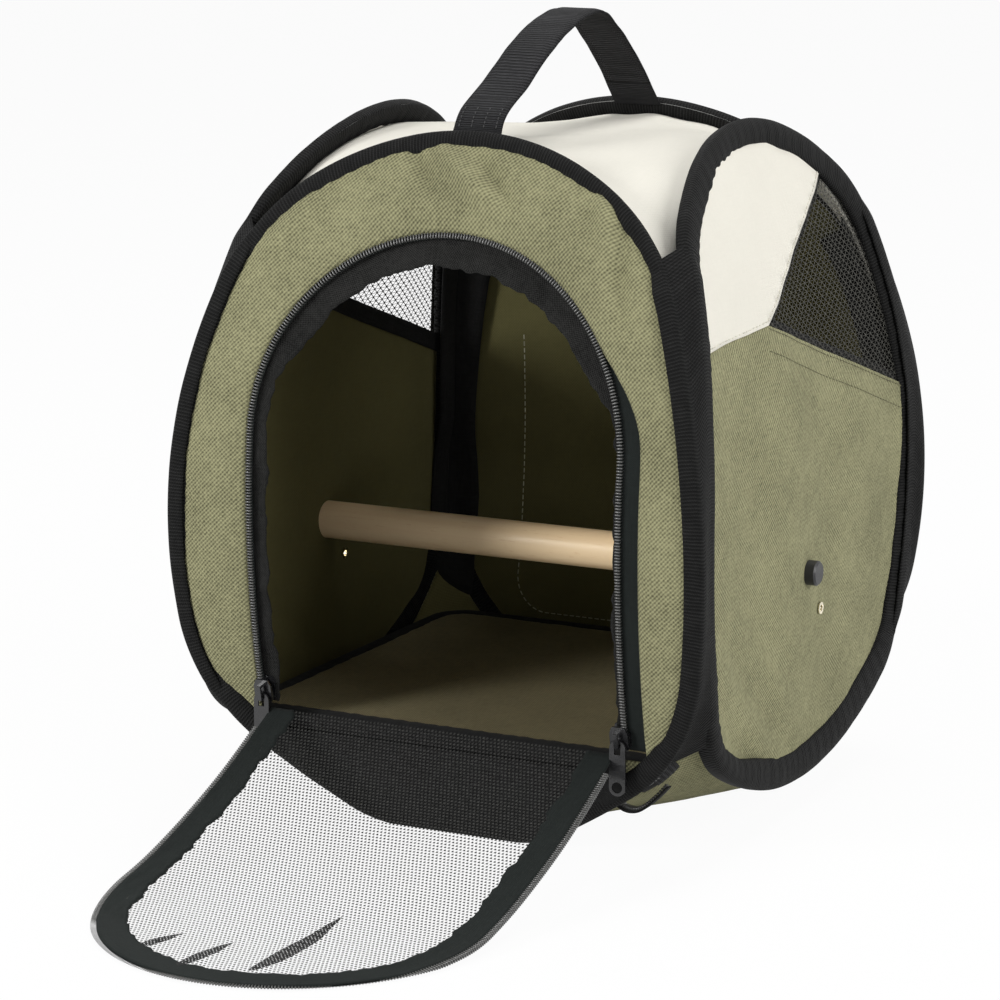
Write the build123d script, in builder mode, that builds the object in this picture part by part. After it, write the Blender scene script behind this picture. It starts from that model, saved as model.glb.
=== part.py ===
from build123d import *

import os
from dataclasses import dataclass
from math import asin, cos, degrees, hypot, radians, sin, sqrt

# Pop-up bird travel carrier. Four closed spring-steel hoops in webbing casings stand as the
# front, rear, left and right walls. Each hoop is bowed, so it leans in towards its top and its
# base. The hoops are joined side by side up the four corners, and a roof and a base sheet span
# between them. Millimetres. +X is the carrier's right seen from the front, -Y is the front and
# +Z is up. The origin is on the base, below the middle.

# ---------------------------------------------------------------- driving dimensions
# Walls: the distance of a wall's middle layer from the origin at the height where it bulges
# most, and the radii of its bow below and above that height.
FRONT_REACH = 136.5
FRONT_RADIUS_LOW = 440.0
FRONT_RADIUS_HIGH = 345.0
SIDE_REACH = 131.1
SIDE_RADIUS_LOW = 3200.0
SIDE_RADIUS_HIGH = 404.0
BULGE_HEIGHT = 155.0

# Hoops
HOOP_HALF_WIDTH = 136.6
HOOP_HEIGHT = 328.0
HOOP_FLAT = 28.0
SIDE_HOOP_DROP = 139.0
WALL_OVERRUN = 0.15
CASING_WIDTH = 12.5
CASING_THICKNESS = 7.6
CASING_SKIN = 1.2
SPRING_WIDTH = 5.0
SPRING_THICKNESS = 1.0
SPRING_PLAY = 0.3
PANEL_THICKNESS = 1.3
PANEL_PLAY = 0.25
PANEL_TUCK = 8.0
GAP = 0.3

# Door
DOOR_HALF_WIDTH = 93.0
DOOR_SPRING_LINE = 188.0
SILL_HEIGHT = 53.0
COIL_CENTRE_GAP = 1.2
COIL_WIDTH = 2.0
COIL_THICKNESS = 2.2
COIL_START = 56.0
PLACKET_REACH = 11.0
PLACKET_LAP = 9.5
PLACKET_RIM = 3.0
PLACKET_DEPTH = 3.2
TAPE_THICKNESS = 1.0
DOOR_OPEN_ANGLE = 105.9
DOOR_AXIS_STANDOFF = 1.35
DOOR_BORDER_WIDTH = 13.5
DOOR_FABRIC = 1.2
DOOR_MESH_THICKNESS = 0.5
DOOR_MESH_GAP = 0.1
DOOR_MESH_LAP = 5.0
DOOR_SHOULDER = 5.5
DOOR_SHOULDER_TOP = 79.0
HINGE_TAPE_HEIGHT = 8.5
HINGE_TAPE_DROP = 0.45

# Zipper slider and pull
SLIDER_LENGTH = 11.0
SLIDER_WIDTH = 9.0
SLIDER_PLATE = 1.0
SLIDER_CHANNEL = 3.4
SLIDER_SLOT = 2.0
SLIDER_FLANGE = 0.9
SLIDER_SHOULDER = 3.0
SLIDER_NOSE = 1.4
SLIDER_ROUND = 0.6
SLIDER_POST_WIDTH = 1.8
SLIDER_POST_LENGTH = 2.5
SLIDER_REST_HEIGHT = 63.0
BRIDGE_WIDTH = 2.0
BRIDGE_BAR = 1.2
BRIDGE_INNER_HEIGHT = 2.5
BRIDGE_INNER_LENGTH = 5.0
PULL_LENGTH = 26.0
PULL_WIDTH = 8.0
PULL_THICKNESS = 1.0
PULL_BAR = 1.6
PULL_PLAY = 0.4
PULL_ROUND_FLAT = 0.1
PULL_SLOT_WIDTH = 3.2
PULL_SLOT_LENGTH = 5.0
PULL_HOLE_RADIUS = 2.6

# Side panels: seam points on the wall, as (y, z)
SEAM_JOINT = (-35.0, 240.0)
SEAM_FRONT = (-113.0, 236.0)
SEAM_REAR = (130.0, 186.0)
SEAM_TOP = (62.0, 294.0)
SEAM_TAPE_WIDTH = 9.0
SEAM_TAPE_THICKNESS = 0.8

# Roof and base sheets
SHEET_THICKNESS = 1.5
ROOF_HEIGHT = 318.0
ROOF_SEAM_INSET = 9.0
BASE_SEAM_INSET = 4.5
BASE_SIDE_RISE = 17.5
BASE_RISE_SHARES = (0.17, 0.58, 1.0)
SHEET_OVERRUN = 1.1
ROOF_CORNER_RUN = 0.35

# Floor board
BOARD_HALF_WIDTH = 119.0
BOARD_HALF_DEPTH = 110.0
BOARD_CORNER = 20.0
BOARD_THICKNESS = 4.0
BOARD_BINDING = 8.0
BOARD_UNDERSIDE = 45.2

# Perch
PERCH_RADIUS = 9.5
PERCH_Y = 0.0
PERCH_HEIGHT = 117.0
SCREW_RADIUS = 2.0
SCREW_DEPTH = 20.0
SCREW_PLAY = 0.05
SCREW_HEAD_RADIUS = 4.0
SCREW_HEAD_HEIGHT = 2.6
SCREW_HOLE_RADIUS = 2.5
KNOB_RADIUS = 6.0
KNOB_LENGTH = 5.5
KNOB_ROUND = 0.9
EYELET_BORE = 1.5
EYELET_WALL = 0.4
EYELET_FLANGE = 2.9
EYELET_SHEET = 0.6
SPARE_EYELET_Y = 17.0
SPARE_EYELET_HEIGHT = 96.0

# Carrying handle
STRAP_WIDTH = 25.0
STRAP_THICKNESS = 1.6
STRAP_FRONT_END = -73.0
STRAP_RISE = [(-78.0, 336.5), (-33.0, 365.5), (24.0, 377.2)]
STRAP_FALL = [(77.0, 363.8), (91.3, 350.0), (91.3, 338.8)]
ANCHOR_FRONT_PATH = [(-89.5, 329.2), (-86.0, 331.0), (-66.0, 346.0)]
ANCHOR_REAR_PATH = [(89.4, 328.3), (89.4, 338.3)]

# Rear pocket
POCKET_HALF_WIDTH = 88.0
POCKET_BASE = 46.0
POCKET_TOP = 197.0
POCKET_CORNER = 22.0
POCKET_THICKNESS = 1.2
POCKET_HEM_THICKNESS = 1.8
POCKET_HEM = 12.0

# Base zipper
BASE_ZIP_DEPTH = 12.0
BASE_ZIP_SLOT = 9.0
BASE_ZIP_TAPE = 16.0
BASE_ZIP_COIL = 4.0
BASE_ZIP_LEFT = -98.0
BASE_ZIP_RIGHT = 106.0
BASE_TAB_LENGTH = 8.0
BASE_ZIP_LAP = 4.0

os.makedirs("parts", exist_ok=True)


# ---------------------------------------------------------------- walls and outlines
@dataclass(frozen=True)
class Wall:
    """A bowed wall: the plane its outline is drawn on, which way it lies and its bow."""

    outline: Plane
    profile: Plane
    throw: float
    reach: float
    radius_low: float
    radius_high: float

    def face_at(self, height, depth=0.0):
        """Distance from the origin of the layer that lies `depth` outside the middle one."""
        radius = self.radius_low if height < BULGE_HEIGHT else self.radius_high
        rise = height - BULGE_HEIGHT
        return self.reach - radius + sqrt((radius + depth) ** 2 - rise**2)


THROW = 170.0
FRONT = Wall(Plane.XZ, Plane(origin=(0, 0, 0), x_dir=(0, -1, 0), z_dir=(-1, 0, 0)),
             THROW, FRONT_REACH, FRONT_RADIUS_LOW, FRONT_RADIUS_HIGH)
REAR = Wall(Plane.XZ, Plane(origin=(0, 0, 0), x_dir=(0, 1, 0), z_dir=(1, 0, 0)),
            -THROW, FRONT_REACH, FRONT_RADIUS_LOW, FRONT_RADIUS_HIGH)
RIGHT = Wall(Plane.YZ, Plane(origin=(0, 0, 0), x_dir=(1, 0, 0), z_dir=(0, -1, 0)),
             THROW, SIDE_REACH, SIDE_RADIUS_LOW, SIDE_RADIUS_HIGH)


def wall_arcs(wall, depth):
    """The two arcs of a wall's bow, drawn `depth` outside its middle layer."""
    overrun = WALL_OVERRUN * HOOP_HEIGHT
    low_sweep = degrees(asin(min(0.9, (BULGE_HEIGHT + overrun) / wall.radius_low)))
    high_sweep = degrees(asin(min(0.9, (HOOP_HEIGHT + overrun - BULGE_HEIGHT)
                                  / wall.radius_high)))
    low = CenterArc((wall.reach - wall.radius_low, BULGE_HEIGHT), wall.radius_low + depth,
                    0, -low_sweep)
    high = CenterArc((wall.reach - wall.radius_high, BULGE_HEIGHT), wall.radius_high + depth,
                     0, high_sweep)
    return low, high


def bowed_slab(wall, inner, outer):
    """A slab that follows a wall between two depths and runs past its edges."""
    with BuildPart() as slab:
        with BuildSketch(wall.profile):
            with BuildLine():
                inner_low, inner_high = wall_arcs(wall, inner)
                outer_low, outer_high = wall_arcs(wall, outer)
                Line(inner_low @ 1, outer_low @ 1)
                Line(inner_high @ 1, outer_high @ 1)
            make_face()
        extrude(amount=THROW, both=True)
    return slab.part


def wall_piece(wall, sketch, inner, outer):
    """A flat outline laid on a wall, between two depths from its middle layer."""
    with BuildPart() as piece:
        with BuildSketch(wall.outline):
            add(sketch)
        extrude(amount=wall.throw)
        add(bowed_slab(wall, inner, outer), mode=Mode.INTERSECT)
    return piece.part


def mirrored(part, plane):
    """The same part on the other side of a plane."""
    with BuildPart() as copy:
        add(mirror(part, about=plane, mode=Mode.PRIVATE))
    return copy.part


def ring(outer, inner):
    """The band between two outlines."""
    with BuildSketch() as band:
        add(outer)
        add(inner, mode=Mode.SUBTRACT)
    return band.sketch


# Half outlines of the hoops from the base upwards: arcs that follow on smoothly, each given as
# its radius and how many degrees it turns. One more arc over the top closes each outline. The
# side hoops' radii are shares of the front wall's reach, so that they stay behind its casing.
FRONT_HOOP_ARCS = [(56.2, 30.5), (672.0, 4.0), (90.1, 48.2), (341.8, 27.2), (100.7, 39.0)]
SIDE_HOOP_ARCS = [(1.497, 28.8), (0.332, 45.6), (2.294, 28.5), (4.632, 4.7), (0.378, 34.9)]
# Points on the front hoop where the base and the roof are fitted to it, as shares of its half
# width and its height.
BASE_POINTS = [(0.483, 0.041), (0.761, 0.119), (0.930, 0.213)]
ROOF_POINTS = [(0.454, 0.957), (0.754, 0.857)]


def hoop_outline(base, arcs, inset):
    """A hoop's outline, `inset` inside its outer edge. `base` ends its flat, if it has one."""
    with BuildSketch() as outline:
        with BuildLine():
            point, heading = Vector(base[0], base[1] + inset), Vector(1, 0)
            for radius, turn in arcs:
                arc = JernArc(point, heading, radius - inset, turn)
                point, heading = arc @ 1, arc % 1
            mirror(about=Plane.YZ)
            TangentArc(point, (-point.X, point.Y), tangent=heading)
            if base[0]:
                Line((-base[0], base[1] + inset), (base[0], base[1] + inset))
        make_face()
    return outline.sketch


def front_hoop(inset=0.0):
    """Outline of the front and rear hoops."""
    return hoop_outline((HOOP_FLAT, 0.0), FRONT_HOOP_ARCS, inset)


def side_hoop(inset=0.0):
    """Outline of a side hoop. It stays behind the front and rear casings at every height."""
    arcs = [(share * FRONT_REACH, turn) for share, turn in SIDE_HOOP_ARCS]
    return hoop_outline((0.0, BULGE_HEIGHT - SIDE_HOOP_DROP), arcs, inset)


def door_arch(grow, base):
    """The door's arch, `grow` outside the zipper's centre line, cut off level at `base`."""
    half = DOOR_HALF_WIDTH + grow
    with BuildSketch() as arch:
        with BuildLine():
            right = Line((half, base), (half, DOOR_SPRING_LINE))
            top = ThreePointArc(right @ 1, (0, DOOR_SPRING_LINE + half), (-half, DOOR_SPRING_LINE))
            left = Line(top @ 1, (-half, base))
            Line(left @ 1, right @ 0)
        make_face()
    return arch.sketch


def save(part, name):
    """Name a finished piece and write it."""
    part.label = name
    export_step(part, f"parts/{name}.step")


# ---------------------------------------------------------------- hoops
HALF_CASING = CASING_THICKNESS / 2
HALF_PANEL = PANEL_THICKNESS / 2
CHANNEL_DEPTH = CASING_SKIN + SPRING_THICKNESS + 2 * SPRING_PLAY
HALF_CHANNEL = SPRING_WIDTH / 2 + SPRING_PLAY
HALF_GROOVE = HALF_PANEL + PANEL_PLAY


def hoop_casing(wall, outline):
    """Folded webbing round a hoop: a tunnel for the spring and a groove for the panel."""
    with BuildPart() as casing:
        add(wall_piece(wall, ring(outline(), outline(CASING_WIDTH)), -HALF_CASING, HALF_CASING))
        add(wall_piece(wall, ring(outline(CASING_SKIN), outline(CHANNEL_DEPTH)),
                       -HALF_CHANNEL, HALF_CHANNEL), mode=Mode.SUBTRACT)
        add(wall_piece(wall, outline(CASING_WIDTH - PANEL_TUCK - PANEL_PLAY),
                       -HALF_GROOVE, HALF_GROOVE), mode=Mode.SUBTRACT)
    return casing.part


def hoop_spring(wall, outline):
    """Flat spring-steel strip, on edge inside its tunnel."""
    start = CASING_SKIN + SPRING_PLAY
    return wall_piece(wall, ring(outline(start), outline(start + SPRING_THICKNESS)),
                      -SPRING_WIDTH / 2, SPRING_WIDTH / 2)


with BuildPart() as front_hoop_casing:
    add(hoop_casing(FRONT, front_hoop))
save(front_hoop_casing.part, "front_hoop_casing")
save(mirrored(front_hoop_casing.part, Plane.XZ), "rear_hoop_casing")

with BuildPart() as front_hoop_spring:
    add(hoop_spring(FRONT, front_hoop))
save(front_hoop_spring.part, "front_hoop_spring")
save(mirrored(front_hoop_spring.part, Plane.XZ), "rear_hoop_spring")

with BuildPart() as right_hoop_casing:
    add(hoop_casing(RIGHT, side_hoop))
save(right_hoop_casing.part, "right_hoop_casing")
save(mirrored(right_hoop_casing.part, Plane.YZ), "left_hoop_casing")

with BuildPart() as right_hoop_spring:
    add(hoop_spring(RIGHT, side_hoop))
save(right_hoop_spring.part, "right_hoop_spring")
save(mirrored(right_hoop_spring.part, Plane.YZ), "left_hoop_spring")

# ---------------------------------------------------------------- front and rear panels
PANEL_INSET = CASING_WIDTH - PANEL_TUCK
COIL_OUTSIDE = COIL_CENTRE_GAP + COIL_WIDTH

with BuildPart() as front_panel:
    add(wall_piece(FRONT, ring(front_hoop(PANEL_INSET), door_arch(COIL_OUTSIDE + GAP, SILL_HEIGHT)),
                   -HALF_PANEL, HALF_PANEL))
save(front_panel.part, "front_panel")

with BuildPart() as rear_panel:
    add(wall_piece(REAR, front_hoop(PANEL_INSET), -HALF_PANEL, HALF_PANEL))
save(rear_panel.part, "rear_panel")

with BuildSketch() as pocket_outline:
    with Locations((0, (POCKET_BASE + POCKET_TOP) / 2)):
        Rectangle(2 * POCKET_HALF_WIDTH, POCKET_TOP - POCKET_BASE)
    fillet(pocket_outline.vertices().group_by(Axis.Y)[0], POCKET_CORNER)
with BuildSketch() as pocket_hem_outline:
    with Locations((0, POCKET_TOP - POCKET_HEM / 2)):
        Rectangle(2 * POCKET_HALF_WIDTH, POCKET_HEM)

with BuildPart() as rear_pocket:
    pocket_back = HALF_PANEL + GAP
    add(wall_piece(REAR, pocket_outline.sketch, pocket_back, pocket_back + POCKET_THICKNESS))
    add(wall_piece(REAR, pocket_hem_outline.sketch, pocket_back,
                   pocket_back + POCKET_HEM_THICKNESS))
save(rear_pocket.part, "rear_pocket")


# ---------------------------------------------------------------- side panels
def beyond(start, end, share):
    """The point past `end` on the line from `start`, by a share of its length."""
    return (end[0] + share * (end[0] - start[0]), end[1] + share * (end[1] - start[1]))


FAR = 200.0
FRONT_RUN = beyond(SEAM_JOINT, SEAM_FRONT, 1.0)
REAR_RUN = beyond(SEAM_JOINT, SEAM_REAR, 1.0)
TOP_RUN = beyond(SEAM_JOINT, SEAM_TOP, 1.0)
SIDE_REGIONS = {
    "side_panel": [FRONT_RUN, SEAM_JOINT, REAR_RUN, (2 * FAR, -FAR), (-FAR, -FAR)],
    "corner_panel": [FRONT_RUN, SEAM_JOINT, TOP_RUN, (-FAR, 2 * FAR)],
    "side_mesh": [REAR_RUN, SEAM_JOINT, TOP_RUN, (2 * FAR, FAR)],
}


def side_region(points, inset):
    """The part of a side panel inside a polygon, with half a seam gap left along its edges."""
    with BuildSketch() as region:
        with BuildLine():
            Polyline(*points, close=True)
        make_face()
        offset(amount=-GAP / 2, kind=Kind.INTERSECTION)
        add(side_hoop(inset), mode=Mode.INTERSECT)
    return region.sketch


with BuildSketch() as side_holes:
    with Locations((PERCH_Y, PERCH_HEIGHT)):
        Circle(SCREW_HOLE_RADIUS)
    with Locations((SPARE_EYELET_Y, SPARE_EYELET_HEIGHT)):
        Circle(EYELET_BORE + EYELET_WALL + SCREW_PLAY)

for name, corners in SIDE_REGIONS.items():
    with BuildPart() as side_cloth:
        add(wall_piece(RIGHT, ring(side_region(corners, PANEL_INSET), side_holes.sketch),
                       -HALF_PANEL, HALF_PANEL))
    save(side_cloth.part, f"right_{name}")
    save(mirrored(side_cloth.part, Plane.YZ), f"left_{name}")

with BuildSketch() as seam_band:
    with BuildLine():
        Polyline(REAR_RUN, SEAM_JOINT, TOP_RUN)
    trace(line_width=SEAM_TAPE_WIDTH)
    add(side_hoop(CASING_WIDTH + GAP), mode=Mode.INTERSECT)

with BuildPart() as right_seam_tape:
    tape_face = -HALF_PANEL - GAP / 2
    add(wall_piece(RIGHT, seam_band.sketch, tape_face - SEAM_TAPE_THICKNESS, tape_face))
save(right_seam_tape.part, "right_seam_tape")
save(mirrored(right_seam_tape.part, Plane.YZ), "left_seam_tape")


# ---------------------------------------------------------------- roof and base
def sheet_profile(edge_z, middle_z, reach, lift):
    """Spline across a sheet, rising or falling from its middle towards both ends."""
    rise = (edge_z - middle_z) * SHEET_OVERRUN**2
    run = reach * SHEET_OVERRUN
    slope = 2 * rise / run
    return Spline((-run, middle_z + rise + lift), (0, middle_z + lift),
                  (run, middle_z + rise + lift), tangents=[(1, -slope), (1, slope)])


def sheet_wing(stations, low, high):
    """Half a sheet, lofted through sections at growing distances from its middle."""
    with BuildPart() as wing:
        for x, edge_z, reach, middle_z in stations:
            with BuildSketch(Plane.YZ.offset(x)):
                with BuildLine():
                    bottom = sheet_profile(edge_z, middle_z, reach, low)
                    top = sheet_profile(edge_z, middle_z, reach, high)
                    Line(bottom @ 0, top @ 0)
                    Line(bottom @ 1, top @ 1)
                make_face()
        loft()
    return wing.part


def between_walls(wall, plane):
    """The space between two facing walls, inside their casings."""
    with BuildPart() as space:
        with BuildSketch(plane):
            with BuildLine():
                low_arc, high_arc = wall_arcs(wall, -HALF_CASING - GAP)
                Line(low_arc @ 1, (0, (low_arc @ 1).Y))
                Line(high_arc @ 1, (0, (high_arc @ 1).Y))
                mirror(about=Plane.YZ)
            make_face()
        extrude(amount=FAR, both=True)
    return space.part


with BuildPart() as inner_block:
    add(between_walls(RIGHT, Plane.XZ))
    add(between_walls(FRONT, Plane.YZ), mode=Mode.INTERSECT)


def seam_station(shape_point, inset, middle_z):
    """A sheet's section where it meets the front hoop at one of the hoop's shape points."""
    x = HOOP_HALF_WIDTH * shape_point[0]
    z = HOOP_HEIGHT * shape_point[1] + inset
    return x, z, FRONT.face_at(z, -HALF_CASING) - GAP, middle_z


BASE_STATIONS = [(HOOP_FLAT, 0.0, FRONT.face_at(0.0, -HALF_CASING) - GAP, 0.0)]
for shape_point, share in zip(BASE_POINTS, BASE_RISE_SHARES):
    BASE_STATIONS.append(seam_station(shape_point, BASE_SEAM_INSET, share * BASE_SIDE_RISE))
roof_edge = HOOP_HEIGHT - ROOF_SEAM_INSET
ROOF_STATIONS = [(0.0, roof_edge, FRONT.face_at(roof_edge, -HALF_CASING) - GAP, ROOF_HEIGHT)]
for shape_point in ROOF_POINTS:
    ROOF_STATIONS.append(seam_station(shape_point, -ROOF_SEAM_INSET, ROOF_HEIGHT))
ROOF_STATIONS.append(tuple(
    outer + ROOF_CORNER_RUN * (outer - inner)
    for inner, outer in zip(ROOF_STATIONS[-2], ROOF_STATIONS[-1])))


def base_sheet(low, high):
    """The base between two heights above its underside, cut to the space inside the hoops."""
    with BuildPart() as sheet:
        add(sheet_wing(BASE_STATIONS, low, high))
        mirror(about=Plane.YZ)
        with Locations((0, 0, (low + high) / 2)):
            Box(2 * HOOP_FLAT, 2 * FRONT_REACH, high - low)
        add(inner_block.part, mode=Mode.INTERSECT)
    return sheet.part


def base_zip_strip(low, high, width, left, right):
    """A strip of the base that runs along the front hoop, centred on the base zipper."""
    with BuildPart() as strip:
        add(base_sheet(low, high))
        add(bowed_slab(FRONT, -BASE_ZIP_DEPTH - width / 2, -BASE_ZIP_DEPTH + width / 2),
            mode=Mode.INTERSECT)
        with Locations(((left + right) / 2, 0, 0)):
            Box(right - left, 2 * FRONT_REACH, 2 * HOOP_HEIGHT, mode=Mode.INTERSECT)
    return strip.part


with BuildPart() as roof_panel:
    add(sheet_wing(ROOF_STATIONS, 0, SHEET_THICKNESS))
    mirror(about=Plane.YZ)
    add(inner_block.part, mode=Mode.INTERSECT)
save(roof_panel.part, "roof_panel")

with BuildPart() as base_panel:
    add(base_sheet(0, SHEET_THICKNESS))
    add(base_zip_strip(-SHEET_THICKNESS, 2 * SHEET_THICKNESS, BASE_ZIP_SLOT,
                       BASE_ZIP_LEFT, BASE_ZIP_RIGHT), mode=Mode.SUBTRACT)
save(base_panel.part, "base_panel")

with BuildPart() as base_zipper_tape:
    tape_base = SHEET_THICKNESS + GAP / 2
    add(base_zip_strip(tape_base, tape_base + TAPE_THICKNESS, BASE_ZIP_TAPE,
                       BASE_ZIP_LEFT - BASE_ZIP_LAP, BASE_ZIP_RIGHT + BASE_ZIP_LAP))
save(base_zipper_tape.part, "base_zipper_tape")

with BuildPart() as base_zipper_coil:
    add(base_zip_strip(GAP / 2, SHEET_THICKNESS, BASE_ZIP_COIL,
                       BASE_ZIP_LEFT + GAP, BASE_ZIP_RIGHT - GAP))
save(base_zipper_coil.part, "base_zipper_coil")

with BuildPart() as base_zipper_tab:
    add(base_zip_strip(-GAP / 2 - TAPE_THICKNESS, -GAP / 2, BASE_ZIP_SLOT,
                       BASE_ZIP_RIGHT - BASE_ZIP_LAP, BASE_ZIP_RIGHT + BASE_TAB_LENGTH))
save(base_zipper_tab.part, "base_zipper_tab")

# ---------------------------------------------------------------- floor board
with BuildSketch() as board_outline:
    RectangleRounded(2 * BOARD_HALF_WIDTH, 2 * BOARD_HALF_DEPTH, BOARD_CORNER)
with BuildSketch() as board_core:
    add(board_outline.sketch)
    offset(amount=-BOARD_BINDING)

with BuildPart() as floor_board:
    with BuildSketch(Plane.XY.offset(BOARD_UNDERSIDE)):
        add(board_core.sketch)
    extrude(amount=BOARD_THICKNESS)
save(floor_board.part, "floor_board")

with BuildPart() as floor_board_binding:
    with BuildSketch(Plane.XY.offset(BOARD_UNDERSIDE)):
        add(ring(board_outline.sketch, board_core.sketch))
    extrude(amount=BOARD_THICKNESS)
save(floor_board_binding.part, "floor_board_binding")

# ---------------------------------------------------------------- door opening
with BuildPart() as front_zipper_coil:
    add(wall_piece(FRONT, ring(door_arch(COIL_OUTSIDE, COIL_START),
                               door_arch(COIL_CENTRE_GAP, COIL_START)),
                   -COIL_THICKNESS / 2, COIL_THICKNESS / 2))
save(front_zipper_coil.part, "front_zipper_coil")

with BuildPart() as front_zipper_placket:
    placket_outside = door_arch(PLACKET_LAP, COIL_START)
    add(wall_piece(FRONT, ring(placket_outside, door_arch(-PLACKET_REACH, COIL_START)),
                   -PLACKET_DEPTH - TAPE_THICKNESS, -PLACKET_DEPTH))
    add(wall_piece(FRONT, ring(placket_outside, door_arch(PLACKET_LAP - PLACKET_RIM, COIL_START)),
                   -PLACKET_DEPTH, -HALF_PANEL - GAP))
save(front_zipper_placket.part, "front_zipper_placket")

with BuildSketch() as hinge_tape_outline:
    with Locations((0, SILL_HEIGHT - HINGE_TAPE_DROP - HINGE_TAPE_HEIGHT / 2)):
        Rectangle(2 * (DOOR_HALF_WIDTH - DOOR_SHOULDER - DOOR_FABRIC), HINGE_TAPE_HEIGHT)
with BuildPart() as door_hinge_tape:
    add(wall_piece(FRONT, hinge_tape_outline.sketch, HALF_PANEL + GAP / 2,
                   HALF_PANEL + GAP / 2 + TAPE_THICKNESS))
save(door_hinge_tape.part, "door_hinge_tape")

# ---------------------------------------------------------------- door
# The door is drawn closed, in the front wall, and folded down about its sill.
DOOR_AXIS = Axis((0, -FRONT.face_at(SILL_HEIGHT) - DOOR_AXIS_STANDOFF, SILL_HEIGHT), (1, 0, 0))
DOOR_BASE = SILL_HEIGHT + DOOR_FABRIC / 2
BORDER_INSET = COIL_OUTSIDE + GAP


def door_piece(sketch, inner, outer):
    """A piece of the door, folded down."""
    return wall_piece(FRONT, sketch, inner, outer).rotate(DOOR_AXIS, DOOR_OPEN_ANGLE)


with BuildSketch() as border_outline:
    add(ring(door_arch(-BORDER_INSET, DOOR_BASE),
             door_arch(-BORDER_INSET - DOOR_BORDER_WIDTH, 0)))
    for side in (-1, 1):
        with Locations((side * DOOR_HALF_WIDTH, 0)):
            Rectangle(2 * DOOR_SHOULDER, 2 * DOOR_SHOULDER_TOP, mode=Mode.SUBTRACT)

with BuildPart() as door_border:
    add(door_piece(border_outline.sketch, -DOOR_FABRIC / 2, DOOR_FABRIC / 2))
save(door_border.part, "door_border")

with BuildPart() as door_mesh:
    mesh_face = DOOR_FABRIC / 2 + DOOR_MESH_GAP
    add(door_piece(door_arch(-BORDER_INSET - DOOR_MESH_LAP, DOOR_BASE),
                   mesh_face, mesh_face + DOOR_MESH_THICKNESS))
save(door_mesh.part, "door_mesh")

with BuildPart() as door_zipper_coil:
    coil_base = DOOR_SHOULDER_TOP + DOOR_FABRIC
    add(door_piece(ring(door_arch(-COIL_CENTRE_GAP, coil_base), door_arch(-COIL_OUTSIDE, 0)),
                   -COIL_THICKNESS / 2, COIL_THICKNESS / 2))
save(door_zipper_coil.part, "door_zipper_coil")

# ---------------------------------------------------------------- zipper sliders and pulls
# A slider is drawn where the front wall is upright and run down its leg to its stop.
LEG_AXIS = Axis((0, FRONT_RADIUS_LOW - FRONT_REACH, BULGE_HEIGHT), (1, 0, 0))
SLIDER_DROP = degrees(asin((BULGE_HEIGHT - SLIDER_REST_HEIGHT) / FRONT_RADIUS_LOW))
PLATE_INSIDE = SLIDER_CHANNEL / 2
PLATE_OUTSIDE = PLATE_INSIDE + SLIDER_PLATE
PULL_DEPTH = PLATE_OUTSIDE + BRIDGE_INNER_HEIGHT / 2
PULL_AXIS_RISE = PULL_BAR / 2 + PULL_PLAY - BRIDGE_INNER_LENGTH / 2


def front_plane(depth):
    """An upright plane, `depth` outside the middle of the front wall at its bulge."""
    return Plane.XZ.offset(FRONT_REACH + depth)


def zipper_slider(centre_x):
    """Slider body: two plates, side flanges, the dividing post and the pull's bridge."""
    half_width = SLIDER_WIDTH / 2
    half_length = SLIDER_LENGTH / 2
    shoulder = half_length - SLIDER_SHOULDER
    flange_height = (SLIDER_CHANNEL - SLIDER_SLOT) / 2
    with BuildSketch() as plate:
        with BuildLine():
            Polyline((-half_width, -half_length), (half_width, -half_length),
                     (half_width, shoulder), (half_width - SLIDER_NOSE, half_length),
                     (SLIDER_NOSE - half_width, half_length), (-half_width, shoulder), close=True)
        make_face()
        fillet(plate.vertices(), SLIDER_ROUND)
    with BuildSketch() as flanges:
        for side in (-1, 1):
            with Locations((side * (half_width - SLIDER_FLANGE / 2), (shoulder - half_length) / 2)):
                Rectangle(SLIDER_FLANGE, shoulder + half_length - 2 * SLIDER_ROUND)
    with BuildSketch() as post:
        with Locations((0, half_length - SLIDER_POST_LENGTH / 2 - SLIDER_ROUND / 2)):
            Rectangle(SLIDER_POST_WIDTH, SLIDER_POST_LENGTH)
    with BuildPart() as slider:
        for outline, low, thickness in (
                (plate, PLATE_INSIDE, SLIDER_PLATE),
                (plate, -PLATE_OUTSIDE, SLIDER_PLATE),
                (flanges, SLIDER_SLOT / 2, flange_height),
                (flanges, -PLATE_INSIDE, flange_height),
                (post, -PLATE_INSIDE, SLIDER_CHANNEL)):
            with BuildSketch(front_plane(low)):
                with Locations((centre_x, BULGE_HEIGHT)):
                    add(outline.sketch)
            extrude(amount=thickness)
        with BuildSketch(FRONT.profile.offset(-centre_x)):
            loop_outer = PLATE_OUTSIDE + BRIDGE_INNER_HEIGHT + BRIDGE_BAR
            with Locations((FRONT_REACH + (loop_outer + PLATE_OUTSIDE) / 2, BULGE_HEIGHT)):
                Rectangle(loop_outer - PLATE_OUTSIDE, BRIDGE_INNER_LENGTH + 2 * BRIDGE_BAR)
            with Locations((FRONT_REACH + PULL_DEPTH, BULGE_HEIGHT)):
                Rectangle(BRIDGE_INNER_HEIGHT, BRIDGE_INNER_LENGTH, mode=Mode.SUBTRACT)
        extrude(amount=BRIDGE_WIDTH / 2, both=True)
    return slider.part.rotate(LEG_AXIS, SLIDER_DROP)


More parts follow.
